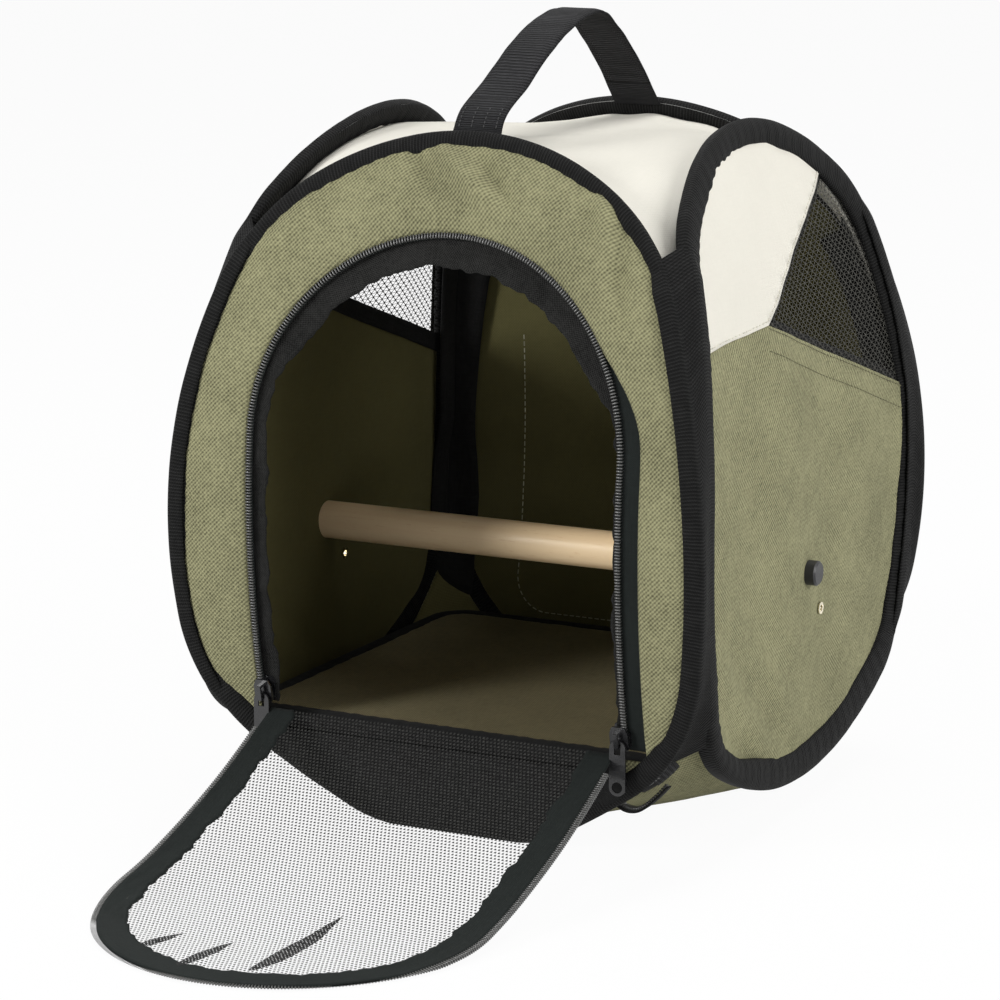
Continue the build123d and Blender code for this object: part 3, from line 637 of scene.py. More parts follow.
@dataclass(frozen=True)
class Arch:
    """The door opening: two upright legs and a half circle over them."""

    half: float = 0.093
    spring: float = 0.188

    def length(self, base: float) -> float:
        """Length of the arch from `base` over the top and down again."""
        return 2 * (self.spring - base) + math.pi * self.half

    def station(self, length: float, grow: float, base: float) -> tuple[float, float, float]:
        """A point of the arch.

        Args:
            length: How far from the foot of the right leg, on the arch's own line.
            grow: How far outside that line.
            base: The height of the legs' feet.

        Returns:
            Its place across, its height and the angle at which the arch runs there.
        """
        leg = self.spring - base
        half = self.half + grow
        if length < leg:
            return half, base + length, math.pi / 2
        turn = (length - leg) / self.half
        if turn < math.pi:
            return (half * math.cos(turn), self.spring + half * math.sin(turn),
                    turn + math.pi / 2)
        return -half, self.spring - (length - leg - math.pi * self.half), -math.pi / 2

    def outline(self, grow: Callable[[float], float], base: float) -> list[Vector]:
        """The closed outline of the opening, `grow` outside the arch's own line."""
        total, steps = self.length(base), 220
        lengths = [total * step / steps for step in range(steps + 1)]
        return [Vector(self.station(length, grow(length), base)[:2]) for length in lengths]

    def turn(self, length: float, base: float) -> float:
        """How far round the half circle a length is: below 0 and above pi on the legs."""
        return (length - self.spring + base) / self.half

    def half_at(self, height: float, grow: float) -> float:
        """Half the width of the opening at a height."""
        rise = max(0.0, height - self.spring)
        return math.sqrt(max(0.0, (self.half + grow) ** 2 - rise**2))


ARCH = Arch()


def ray_reach(outline: Sequence[Vector], centre: Vector, angle: float) -> float:
    """Distance to a closed outline.

    Args:
        outline: The outline's points.
        centre: A point inside it.
        angle: The direction in which to look.

    Returns:
        How far the outline is from the centre that way.
    """
    ray, farthest = Vector((math.cos(angle), math.sin(angle))), 0.0
    for start, end in zip(outline, [*outline[1:], outline[0]]):
        edge, gap = end - start, start - centre
        cross = ray.x * edge.y - ray.y * edge.x
        if abs(cross) > 1e-12:
            share = (gap.x * ray.y - gap.y * ray.x) / cross
            if -1e-6 <= share <= 1 + 1e-6:
                farthest = max(farthest, (gap.x * edge.y - gap.y * edge.x) / cross)
    return farthest


def slack(x: float, y: float, scale: float, seed: float = 0.0) -> float:
    """Smooth unevenness from about -1 to 1, with one swell each `scale` metres."""
    return 1.6 * noise.noise(Vector((x / scale, y / scale, seed)))


def between(low: float, high: float, share: float) -> float:
    """A soft step from 0 at `low` to 1 at `high`."""
    share = min(1.0, max(0.0, (share - low) / (high - low)))
    return share * share * (3 - 2 * share)


def curve_at(points: Sequence[Vector], share: float) -> tuple[Vector, Vector]:
    """Place and direction on a smooth curve through some points.

    Args:
        points: The points, which are spaced about evenly.
        share: How far along, in even shares for each stretch between points.

    Returns:
        The place and the direction.
    """
    count = len(points) - 1
    index = min(count - 1, int(share * count))
    rest = share * count - index
    a, b, c, d = (points[min(count, max(0, index + step))] for step in (-1, 0, 1, 2))
    place = 0.5 * (2 * b + (c - a) * rest + (2 * a - 5 * b + 4 * c - d) * rest**2
                   + (3 * b - a - 3 * c + d) * rest**3)
    heading = 0.5 * ((c - a) + 2 * (2 * a - 5 * b + 4 * c - d) * rest
                     + 3 * (3 * b - a - 3 * c + d) * rest**2)
    return place, heading.normalized()


def fold_at(across: float, height: float, x: float, z: float, turn: float, length: float,
            width: float) -> float:
    """How much of a straight fold there is at a place: 1 on its line and 0 away from it.

    Args:
        across: The place across.
        height: Its height.
        x: Where the middle of the fold is across.
        z: The height of its middle.
        turn: The angle at which it runs.
        length: Its length.
        width: Its width.

    Returns:
        The share.
    """
    dx, dz = across - x, height - z
    along = dx * math.cos(turn) + dz * math.sin(turn)
    aside = dz * math.cos(turn) - dx * math.sin(turn)
    return max(0.0, 1 - (2 * along / length) ** 2) * math.exp(-((aside / width) ** 2))


def listed(table: Sequence[tuple[float, float]], share: float) -> float:
    """A value that a table gives for some shares, with soft steps between them."""
    for (low, first), (high, last) in zip(table, table[1:]):
        if low <= share <= high:
            return first + (last - first) * between(low, high, share)
    return table[-1][1]


# ------------------------------------------------------------------ making meshes
def bent_grid(columns: int, rows: int, placing: Placing) -> bmesh.types.BMesh:
    """Carry a flat grid onto a surface.

    Args:
        columns: How many faces the grid has along it.
        rows: How many faces it has across it.
        placing: Gives the place and the cloth's map position for the shares along and across.

    Returns:
        The new mesh, with edges that meet joined.
    """
    shape = bmesh.new()
    bmesh.ops.create_grid(shape, x_segments=columns, y_segments=rows, size=0.5)
    cloth = shape.loops.layers.uv.new("cloth")
    low = min(vert.co.x for vert in shape.verts)
    span = max(vert.co.x for vert in shape.verts) - low
    placed = {vert: placing((vert.co.x - low) / span, (vert.co.y - low) / span)
              for vert in shape.verts}
    for face in shape.faces:
        face.smooth = True
        for loop in face.loops:
            loop[cloth].uv = placed[loop.vert][1]
    for vert, (place, _) in placed.items():
        vert.co = place
    bmesh.ops.remove_doubles(shape, verts=shape.verts, dist=0.002 * MM)
    return shape


def closed(shape: bmesh.types.BMesh) -> bmesh.types.BMesh:
    """The same closed mesh with its faces pointing outwards."""
    bmesh.ops.recalc_face_normals(shape, faces=shape.faces)
    return shape


def studs(footings: Iterable[Footing], size: Vector, rounding: float) -> bmesh.types.BMesh:
    """A row of small rounded blocks, such as stitches or zipper teeth.

    Args:
        footings: Where the blocks are.
        size: Length along the row, width and height of a block.
        rounding: How much its edges are rounded.

    Returns:
        The new mesh.
    """
    shape = bmesh.new()
    for footing in footings:
        bmesh.ops.create_cube(shape, size=1.0, matrix=footing.turned(size))
    bmesh.ops.bevel(shape, geom=shape.edges[:], offset=rounding, affect="EDGES", segments=1,
                    profile=0.5, material=-1)
    for face in shape.faces:
        face.smooth = True
    return closed(shape)


def stitches(footings: Iterable[Footing]) -> bmesh.types.BMesh:
    """A row of the stitches with which the walls are sewn."""
    return studs(footings, Vector((2.5, 0.5, 0.5)) * MM, 0.12 * MM)


def sliced(shape: bmesh.types.BMesh, place: Vector, away: Vector) -> bmesh.types.BMesh:
    """Cut a mesh by a plane and keep what lies behind it.

    Args:
        shape: The mesh.
        place: A point of the plane.
        away: The way towards what is cut off.

    Returns:
        The same mesh.
    """
    bmesh.ops.bisect_plane(shape, geom=[*shape.verts, *shape.edges, *shape.faces], dist=1e-6,
                           plane_co=place, plane_no=away, clear_outer=True)
    return shape


def swept(hoop_length: float, spacing: float, rows: int,
          skin: Callable[[float, float], Vector], girth: float) -> bmesh.types.BMesh:
    """A closed tube along a closed path.

    Args:
        hoop_length: Length of the path.
        spacing: Length of one face along it.
        rows: How many faces it has round it.
        skin: Gives the place for the shares along and round.
        girth: Length of its section's outline, for the cloth's map.

    Returns:
        The new mesh.
    """
    def placing(along: float, round_it: float) -> Place:
        """A point of the tube's skin and of its cloth."""
        return skin(along % 1.0, round_it % 1.0), (along * hoop_length, round_it * girth)

    return closed(bent_grid(round(hoop_length / spacing), rows, placing))


def linked(name: str, data: bpy.types.ID) -> bpy.types.Object:
    """A new object in the scene."""
    made = bpy.data.objects.new(name, data)
    bpy.context.scene.collection.objects.link(made)
    return made


def mesh_object(name: str, shape: bmesh.types.BMesh,
                material: bpy.types.Material) -> bpy.types.Object:
    """A new object of one material; the mesh that it is given is used up."""
    mesh = bpy.data.meshes.new(name)
    shape.to_mesh(mesh)
    shape.free()
    mesh.materials.append(material)
    return linked(name, mesh)


class Held(Enum):
    """How a sheet of cloth is held."""

    STRETCHED = "stretched"
    LAID = "laid"


@dataclass
class Workshop:
    """Makes the carrier's pieces from finished meshes and counts them."""

    made: int = 0

    def add(self, name: str, shape: bmesh.types.BMesh, finish: Finish, *nodes: str,
            body: str = "carrier", thickness: float = 0.0, held: Held | None = None,
            rests_on: Sequence[str] = (), shaded_inside: Finish | None = None) -> bpy.types.Object:
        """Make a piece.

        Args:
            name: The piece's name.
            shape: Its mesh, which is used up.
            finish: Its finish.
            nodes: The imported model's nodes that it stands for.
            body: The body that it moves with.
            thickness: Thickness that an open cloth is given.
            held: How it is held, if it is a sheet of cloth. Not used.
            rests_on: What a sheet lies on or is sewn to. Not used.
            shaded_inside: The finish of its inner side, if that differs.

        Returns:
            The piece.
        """
        flat, area = self._flat_size(shape)
        piece = mesh_object(name, shape, material_of(finish))
        if thickness:
            wall = piece.modifiers.new("thickness", "SOLIDIFY")
            wall.thickness, wall.offset, wall.use_even_offset = thickness, 0.0, True
            # The inner side can be given a darker copy of the cloth: painted shade of the cabin's
            # inside.
            if shaded_inside is not None:
                piece.data.materials.append(material_of(shaded_inside))
                wall.material_offset = 1
        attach(piece, body)
        if nodes:
            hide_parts(*nodes)
        self.made += 1
        LOG.info("%s: %d faces, rides on %s", name, len(piece.data.polygons), body)
        return piece

    @staticmethod
    def _flat_size(shape: bmesh.types.BMesh) -> tuple[tuple[float, float], float]:
        """The size of the cloth's flat cut, from its map, and its area."""
        cloth = shape.loops.layers.uv.get("cloth")
        if cloth is None:
            return (0.0, 0.0), 0.0
        spots = [loop[cloth].uv for face in shape.faces for loop in face.loops]
        width = max(spot.x for spot in spots) - min(spot.x for spot in spots)
        length = max(spot.y for spot in spots) - min(spot.y for spot in spots)
        area = sum(face.calc_area() for face in shape.faces)
        return (width, length), min(area, width * length)

    def dress_node(self, name: str, finish: Finish) -> None:
        """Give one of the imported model's own nodes its finish."""
        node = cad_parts[name]
        node.data.materials.clear()
        node.data.materials.append(material_of(finish))
        self.made += 1
        LOG.info("%s: the packed model's own node", name)


# ------------------------------------------------------------------ sub-assemblies
@dataclass
class HoopCasing:
    """Folded binding tape sewn round one hoop, with its spring inside."""

    name: str
    wall: Wall
    hoop: Hoop
    seed: float
    widths: tuple[tuple[float, float], ...] = ((0.0, 12.5), (1.0, 12.5))
    depths: tuple[tuple[float, float], ...] = ((0.0, 7.6), (1.0, 7.6))
    taper: float = 0.45

    def skin(self, along: float, round_it: float) -> Vector:
        """A point of the tape.

        Args:
            along: The share of the way round the hoop.
            round_it: The share of the way round the tape's section.

        Returns:
            The point.
        """
        length, turn = along * self.hoop.length, 2 * math.pi * round_it
        loop = Vector((math.cos(2 * math.pi * along), math.sin(2 * math.pi * along)))
        loose = slack(*(loop * self.hoop.length / 6.3), 0.014, self.seed)
        sway = slack(*(loop * self.hoop.length / 6.3), 0.05, self.seed + 7)
        tuck = (1 - math.cos(turn)) / 2
        width = (listed(self.widths, along) + 0.35 * loose + 0.45 * sway) * MM
        full = abs(math.sin(turn)) ** 0.42 * (1 - self.taper * tuck**2)
        pucker = math.sin(2 * math.pi * length / (9 * MM) + 3 * sway) * 0.10 * tuck
        depth = math.copysign(listed(self.depths, along) * MM / 2 * full
                              * (1 + 0.06 * loose + pucker), math.sin(turn))
        across, height = self.hoop.station(along, width * tuck)
        spot = self.wall.place(across, height, depth)
        spot.z = max(0.0, spot.z)
        return spot

    def build(self, shop: Workshop) -> None:
        """Make the tape."""
        tape = swept(self.hoop.length, 2.2 * MM, 24, self.skin, 30 * MM)
        shop.add(self.name, tape, BINDING, self.name)


@dataclass
class CornerTape:
    """Binding that closes the corner between an end hoop and a side hoop."""

    end: Wall
    side: int
    seed: float
    outer_run: tuple[float, float] = (0.136, 0.378)
    inner_run: tuple[float, float] = (0.128, 0.37)
    inner_least: float = 0.1115

    @property
    def name(self) -> str:
        """The corner's name."""
        return (f"{'front' if self.end is FRONT else 'rear'}_"
                f"{'right' if self.side > 0 else 'left'}")

    def spots(self, share: float, insets: Sequence[tuple[Wall, float, float]],
              least: float) -> list[Vector]:
        """Points beside the two hoops.

        Args:
            share: How far round the hoops.
            insets: For each point, its wall and how far inside its hoop and outside it it is.
            least: How far from the wall's middle a point below its bulge is at least.

        Returns:
            The points.
        """
        found = []
        for wall, inset, depth in insets:
            if wall is self.end:
                across, height = FRONT_HOOP.station(share if self.side > 0 else 1 - share, inset)
            else:
                across, height = SIDE_HOOP.station(share if self.end is REAR else 1 - share,
                                                   inset)
            if height < wall.bulge:
                across = math.copysign(max(least, abs(across)), across)
            found.append(wall.place(across, height, depth))
        return found

    def band(self, run: tuple[float, float], columns: int, rows: int, width: float,
             insets: Callable[[float], Sequence[tuple[Wall, float, float]]],
             least: float = 0.0) -> bmesh.types.BMesh:
        """A tape along the corner.

        Args:
            run: The shares of the hoops where it starts and where it ends.
            columns: How many faces it has along it.
            rows: How many faces it has across it.
            width: Its width, for the cloth's map.
            insets: Gives the points that its section runs through, for a share along it.
            least: How far from a wall's middle its points below the bulge are at least.

        Returns:
            The new mesh.
        """
        low, high = run
        length = (high - low) * FRONT_HOOP.length

        def placing(along: float, across: float) -> Place:
            """A point of the tape and of its map."""
            spots = self.spots(low + (high - low) * along, insets(along), least)
            place, _ = curve_at(spots, across)
            return place, (along * length, across * width)

        return bent_grid(columns, rows, placing)

    def outer(self, along: float) -> list[tuple[Wall, float, float]]:
        """Where the outer tape runs: it wraps both casings and dies into them at its ends."""
        proud = between(0.0, 0.07, along) * between(1.0, 0.93, along)
        flank, lift = side_wall(self.side), (2.6 + 1.9 * proud) * MM
        loose = 0.5 * MM * slack(along * 0.2, self.side, 0.02, self.seed)
        edge = (5.5 + 2.5 * proud) * MM
        return [(self.end, edge, lift - 0.3 * MM), (self.end, 1.2 * MM, lift + loose / 2),
                (self.end, 0.6 * MM - 1.2 * MM * proud, 0.6 * MM),
                (flank, 2.0 * MM, lift + 0.1 * MM + loose / 2),
                (flank, edge + 2 * MM + loose, lift - 0.4 * MM)]

    def inner(self, along: float) -> list[tuple[Wall, float, float]]:
        """Where the inner tape runs."""
        flank = side_wall(self.side)
        loose = 0.6 * MM * slack(along * 0.25, self.side, 0.05, self.seed + 3)
        clear = 3.6 * MM * between(0.30, 0.45, along)
        return [(flank, 16.5 * MM + loose, -1.6 * MM - clear),
                (flank, 7 * MM, -4.8 * MM - clear), (self.end, 8 * MM, -5.0 * MM - clear),
                (self.end, 24 * MM - loose, -1.6 * MM - clear)]

    def build(self, shop: Workshop) -> None:
        """Make the outer tape and, inside the cabin, the inner one."""
        shop.add(f"{self.name}_corner_tape",
                 self.band(self.outer_run, 120, 12, 26 * MM, self.outer), BINDING,
                 thickness=0.8 * MM)
        shop.add(f"{self.name}_inner_tape",
                 self.band(self.inner_run, 90, 9, 40 * MM, self.inner, self.inner_least),
                 BLACK_CLOTH, thickness=0.7 * MM)


def disc(wall: Wall, hoop: Hoop, inset: float, depth: Callable[[float, float], float],
         size: int = 72) -> bmesh.types.BMesh:
    """Cloth that fills a hoop, woven level and upright.

    Args:
        wall: The wall that it lies in.
        hoop: The hoop that it fills.
        inset: How far its edge is inside the hoop.
        depth: How far outside the wall's middle it is, from the place across and the height.
        size: How many faces it has each way.

    Returns:
        The new mesh.
    """
    levels = hoop.levels(size, inset)

    def placing(share: float, rise: float) -> Place:
        """A point of the cloth and of its map."""
        half, height = levels[round(rise * size)]
        across = (2 * share - 1) * half
        return wall.place(across, height, depth(across, height)), (across, height)

    shape = bent_grid(size, size, placing)
    if wall.across[1] * wall.outward[0] < wall.across[0] * wall.outward[1]:
        bmesh.ops.reverse_faces(shape, faces=shape.faces)
    return shape


@dataclass
class FrontWall:
    """Front cloth with the arched opening, its zipper half and the placket behind it."""

    edge_inset: float = 4.5 * MM
    opening: float = 3.4 * MM
    puff: float = 4.0 * MM
    cloth: float = 1.3 * MM
    centre: Vector = field(default_factory=lambda: Vector((0.0, 0.160)))
    turned_back: float = 9.0 * MM
    tooth: Vector = field(default_factory=lambda: Vector((0.72, 2.7, 1.9)) * MM)
    tooth_pitch: float = 1.4 * MM
    tooth_off: float = 2.1 * MM
    face: float = 2.4 * MM
    foot: float = 0.056
    lower_edge: float = 0.0512
    hinge_half: float = 0.0862
    hinge_low: float = 0.0437
    hinge_high: float = 0.0524
    facing_half: float = 0.0945
    facing_high: float = 0.0452
    creases: tuple[tuple[float, float, float, float, float, float], ...] = (
        (0.003, 0.307, -0.60, 0.050, 4.5, 4.8), (-0.020, 0.309, -0.85, 0.030, 3.6, -3.6),
        (0.017, 0.307, -0.70, 0.034, 3.6, -4.0), (0.077, 0.292, -1.15, 0.044, 4.5, 4.6),
        (0.087, 0.272, -1.30, 0.060, 4.5, -3.8), (-0.083, 0.283, 0.90, 0.036, 4.5, 2.6),
        (0.110, 0.120, 1.45, 0.090, 7.0, 1.6))

    def gap_at(self, length: float) -> float:
        """How far from the arch's line the cloth is folded back: most along the right leg."""
        wide = between(0.62, 0.10, ARCH.turn(length, self.lower_edge))
        return self.opening + self.turned_back * wide

    def creased(self, across: float, height: float) -> float:
        """How far the cloth's creases stand out."""
        return MM * sum(deep * fold_at(across, height, x, z, turn, length, wide * MM)
                        for x, z, turn, length, wide, deep in self.creases)

    def angles(self) -> list[float]:
        """Directions from the centre of the cloth, with the two corners of the sill among them."""
        drop, count = self.lower_edge - self.centre.y, 288
        right = math.atan2(drop, ARCH.half + self.gap_at(0.0))
        left = math.atan2(drop, -ARCH.half - self.opening) + 2 * math.pi
        turns = [2 * math.pi * step / count - math.pi / 2 for step in range(count + 1)]
        for sharp in (right, left):
            nearest = min(range(1, count), key=lambda index: abs(turns[index] - sharp))
            turns[nearest] = sharp
        return turns

    def panel(self) -> bmesh.types.BMesh:
        """The cloth from the opening to the hoop, puffed out a little between them."""
        turns = self.angles()
        inner = ARCH.outline(self.gap_at, self.lower_edge)
        outer = [Vector(FRONT_HOOP.station(step / 400, self.edge_inset)) for step in range(400)]
        reach = [(ray_reach(inner, self.centre, turn), ray_reach(outer, self.centre, turn))
                 for turn in turns]
        columns, rows = len(turns) - 1, 14

        def placing(along: float, outwards: float) -> Place:
            """A point of the cloth and of its map."""
            index = round(along * columns)
            near, far = reach[index]
            away = near + (far - near) * outwards
            spot = self.centre + away * Vector((math.cos(turns[index]), math.sin(turns[index])))
            swell = math.sin(math.pi * min(1.0, outwards * 0.97)) ** 0.62
            room = min(1.0, (far - near) / 0.03) * (1 - 0.8 * between(0.075, 0.052, spot.y))
            loose = (slack(spot.x, spot.y, 0.045, 1.0) * 0.9
                     + slack(spot.x, spot.y, 0.017, 2.0) * 0.35)
            depth = (self.puff * swell * room + 1.0 * MM * loose * swell
                     + self.creased(spot.x, spot.y) * min(1.0, 2 * swell))
            return FRONT.place(spot.x, spot.y, depth), (spot.x, spot.y)

        return bent_grid(columns, rows, placing)

    def strip(self, inner: float, outer: float, rows: int, base: float,
              depth: Callable[[float, float], float],
              ruffle: Callable[[float, float], float]) -> bmesh.types.BMesh:
        """A band of cloth along the arch.

        Args:
            inner: How far outside the arch's line its inner edge is.
            outer: How far outside that line its outer edge is.
            rows: How many faces it has across.
            base: The height of its feet.
            depth: Gives how far out it stands, from the length along and the share across.
            ruffle: Gives how far it strays sideways, from the same two.

        Returns:
            The new mesh.
        """
        total = ARCH.length(base)

        def placing(along: float, across: float) -> Place:
            """A point of the band and of its map."""
            length = along * total
            grow = inner + (outer - inner) * across + ruffle(length, across)
            x, z, _ = ARCH.station(length, grow, base)
            return (FRONT.place(x, z, depth(length, across)),
                    (length, (outer - inner) * across))

        return bent_grid(round(total / self.face), rows, placing)

    def teeth(self, side: int, foot: float) -> bmesh.types.BMesh:
        """The teeth of the zipper's outer (1) or inner (-1) half, from the legs' feet."""
        count = int(ARCH.length(foot) / self.tooth_pitch)
        places = [ARCH.station((index + 0.5) * self.tooth_pitch, side * self.tooth_off, foot)
                  for index in range(count)]
        return studs([FRONT.footing(x, z, heading, 0.25 * MM) for x, z, heading in places],
                     self.tooth, TOOTH_ROUNDING)

    def placket(self) -> bmesh.types.BMesh:
        """The cloth behind the arch, with a wavy free edge that is tucked in on the legs."""
        def hang(length: float, across: float) -> float:
            """How far in the placket stands: its free edge waves."""
            free = (1 - across) ** 1.5
            wave = slack(length, 0.0, 0.021, 3.0) + 0.5 * slack(length, 0.0, 0.009, 4.0)
            lumps = 0.4 * slack(length, across * 0.02, 0.006, 9.0)
            return -3.4 * MM + (free * (0.4 + 1.7 * wave) + (1 - across) * lumps) * MM

        def stray(length: float, across: float) -> float:
            """How far the placket's free edge strays."""
            free, turn = (1 - across) ** 2, ARCH.turn(length, self.foot)
            tucked = 9.3 * between(0.55, 0.22, turn) + 5.5 * between(2.5, 2.95, turn)
            return (free * (1.3 * slack(length, 1.0, 0.014, 5.0)
                            + 0.9 * slack(length, 1.0, 0.005, 6.0))
                    + (1 - across) * tucked) * MM

        return self.strip(-11 * MM, 8.5 * MM, 10, self.foot, hang, stray)

    def hinge_tape(self) -> bmesh.types.BMesh:
        """The tape on which the door hangs."""
        def placing(along: float, across: float) -> Place:
            """A point of the tape and of its map."""
            x, rise = (2 * along - 1) * self.hinge_half, self.hinge_high - self.hinge_low
            z = self.hinge_low + rise * across
            return (FRONT.place(x, z, 1.3 * MM + 0.2 * MM * slack(x, z, 0.02, 8.0)),
                    (x, z - self.hinge_low))

        return bent_grid(90, 4, placing)

    def facing(self) -> bmesh.types.BMesh:
        """The black cloth below the sill, which rises beside the hinge tape."""
        def placing(along: float, rise: float) -> Place:
            """A point of the facing and of its map."""
            x = (2 * along - 1) * self.facing_half
            foot = FRONT_HOOP.edge(x, 3.0 * MM, False)
            head = self.facing_high + 7.2 * MM * between(0.080, 0.088, abs(x))
            z = foot + (head - foot) * rise
            return FRONT.place(x, z, (3.0 + 0.25 * slack(x, z, 0.02, 10.0)) * MM), (x, z)

        return bent_grid(96, 24, placing)

    def build(self, shop: Workshop) -> None:
        """Make the cloth, the zipper half, the placket, the hinge tape and the facing."""
        shop.add("front_panel", self.panel(), OLIVE_CANVAS, "front_panel", thickness=self.cloth,
                 held=Held.STRETCHED, rests_on=["front_hoop_casing"])
        shop.add("front_zipper_teeth", self.teeth(1, self.foot), NYLON, "front_zipper_coil")
        tape = self.strip(1.0 * MM, 15.0 * MM, 4, self.foot, lambda length, across: -1.4 * MM,
                          lambda length, across: 0.0)
        shop.add("front_zipper_tape", tape, BORDER_CLOTH, thickness=0.5 * MM)
        shop.add("front_zipper_placket", self.placket(), PLACKET_CLOTH, "front_zipper_placket",
                 thickness=0.9 * MM, held=Held.STRETCHED, rests_on=["front_panel"])
        shop.add("door_hinge_tape", self.hinge_tape(), BLACK_CLOTH, "door_hinge_tape",
                 thickness=0.9 * MM)
        shop.add("front_sill_facing", self.facing(), BLACK_CLOTH, thickness=0.7 * MM)


@dataclass
class RearWall:
    """Rear cloth, which is closed, with a flat pocket sewn on its outside."""

    cloth: float = 1.3 * MM
    pocket_half: float = 0.088
    pocket_base: float = 0.046
    pocket_top: float = 0.197
    pocket_corner: float = 0.022
    hem_width: float = 12 * MM
    gape: float = 2.2 * MM
    seam_inset: float = 2.5 * MM
    seam_step: float = 3.6 * MM

    def bulge(self, across: float, height: float) -> float:
        """How far the rear cloth strays from its bow."""
        return (1.3 * slack(across, height, 0.07, 11.0)
                + 0.35 * slack(across, height, 0.02, 12.0)) * MM

    def pocket_half_at(self, height: float) -> float:
        """Half the pocket's width at a height: its lower corners are round."""
        drop = max(0.0, self.pocket_base + self.pocket_corner - height)
        corner = self.pocket_corner
        return self.pocket_half - corner + math.sqrt(max(0.0, corner**2 - drop**2))

    def pocket(self) -> bmesh.types.BMesh:
        """The pocket, which stands off a little along its top."""
        def placing(share: float, rise: float) -> Place:
            """A point of the pocket and of its map."""
            height = self.pocket_base + (self.pocket_top - self.pocket_base) * rise**1.25
            across = (2 * share - 1) * self.pocket_half_at(height)
            gape = rise**3 * math.cos(math.pi * (share - 0.5)) * self.gape
            depth = 1.7 * MM + gape + self.bulge(across, height)
            return REAR.place(across, height, depth), (across, height)

        return bent_grid(52, 44, placing)

    def hem(self) -> bmesh.types.BMesh:
        """The folded hem along the pocket's top."""
        def placing(share: float, rise: float) -> Place:
            """A point of the hem and of its map."""
            height = self.pocket_top - self.hem_width * (1 - rise)
            across = (2 * share - 1) * self.pocket_half
            gape = math.cos(math.pi * (share - 0.5)) * self.gape * (0.75 + 0.25 * rise)
            depth = 2.7 * MM + gape + self.bulge(across, height)
            return REAR.place(across, height, depth), (across, height)

        return bent_grid(52, 4, placing)

    def seam(self, depth: float) -> bmesh.types.BMesh:
        """The stitches that hold the pocket.

        Args:
            depth: How far outside the rear cloth's middle they lie; below 0 is inside.

        Returns:
            The stitches up both sides, along the base and round the two corners.
        """
        inset, step, around = self.seam_inset, self.seam_step, 8
        flat, radius = self.pocket_half - self.pocket_corner, self.pocket_corner - inset
        height = self.pocket_base + self.pocket_corner
        spots: list[tuple[float, float, float]] = []
        while height < self.pocket_top - 2 * MM:
            spots += [(side * (self.pocket_half - inset), height, math.pi / 2)
                      for side in (-1, 1)]
            height += step
        count = int(2 * flat / step)
        spots += [((index / count - 0.5) * 2 * flat, self.pocket_base + inset, 0.0)
                  for index in range(count + 1)]
        for side in (-1, 1):
            for turn in (math.pi / 2 * index / around for index in range(1, around)):
                spots.append((side * (flat + radius * math.sin(turn)),
                              self.pocket_base + self.pocket_corner - radius * math.cos(turn),
                              side * turn))
        return stitches(REAR.footing(across, level, heading, depth + self.bulge(across, level))
                        for across, level, heading in spots)

    def build(self, shop: Workshop) -> None:
        """Make the cloth, the pocket and their stitches."""
        shop.add("rear_panel", disc(REAR, FRONT_HOOP, 4.5 * MM, self.bulge), OLIVE_CANVAS,
                 "rear_panel", thickness=self.cloth, held=Held.STRETCHED,
                 rests_on=["rear_hoop_casing"], shaded_inside=OLIVE_INSIDE_SHADED)
        shop.add("rear_pocket", self.pocket(), OLIVE_CANVAS, "rear_pocket", thickness=1.0 * MM,
                 held=Held.STRETCHED, rests_on=["rear_panel"])
        shop.add("rear_pocket_hem", self.hem(), OLIVE_CANVAS, thickness=1.0 * MM)
        shop.add("rear_pocket_stitches", self.seam(2.3 * MM), OLIVE_THREAD)
        shop.add("rear_inner_stitches", self.seam(-0.8 * MM), PALE_THREAD)


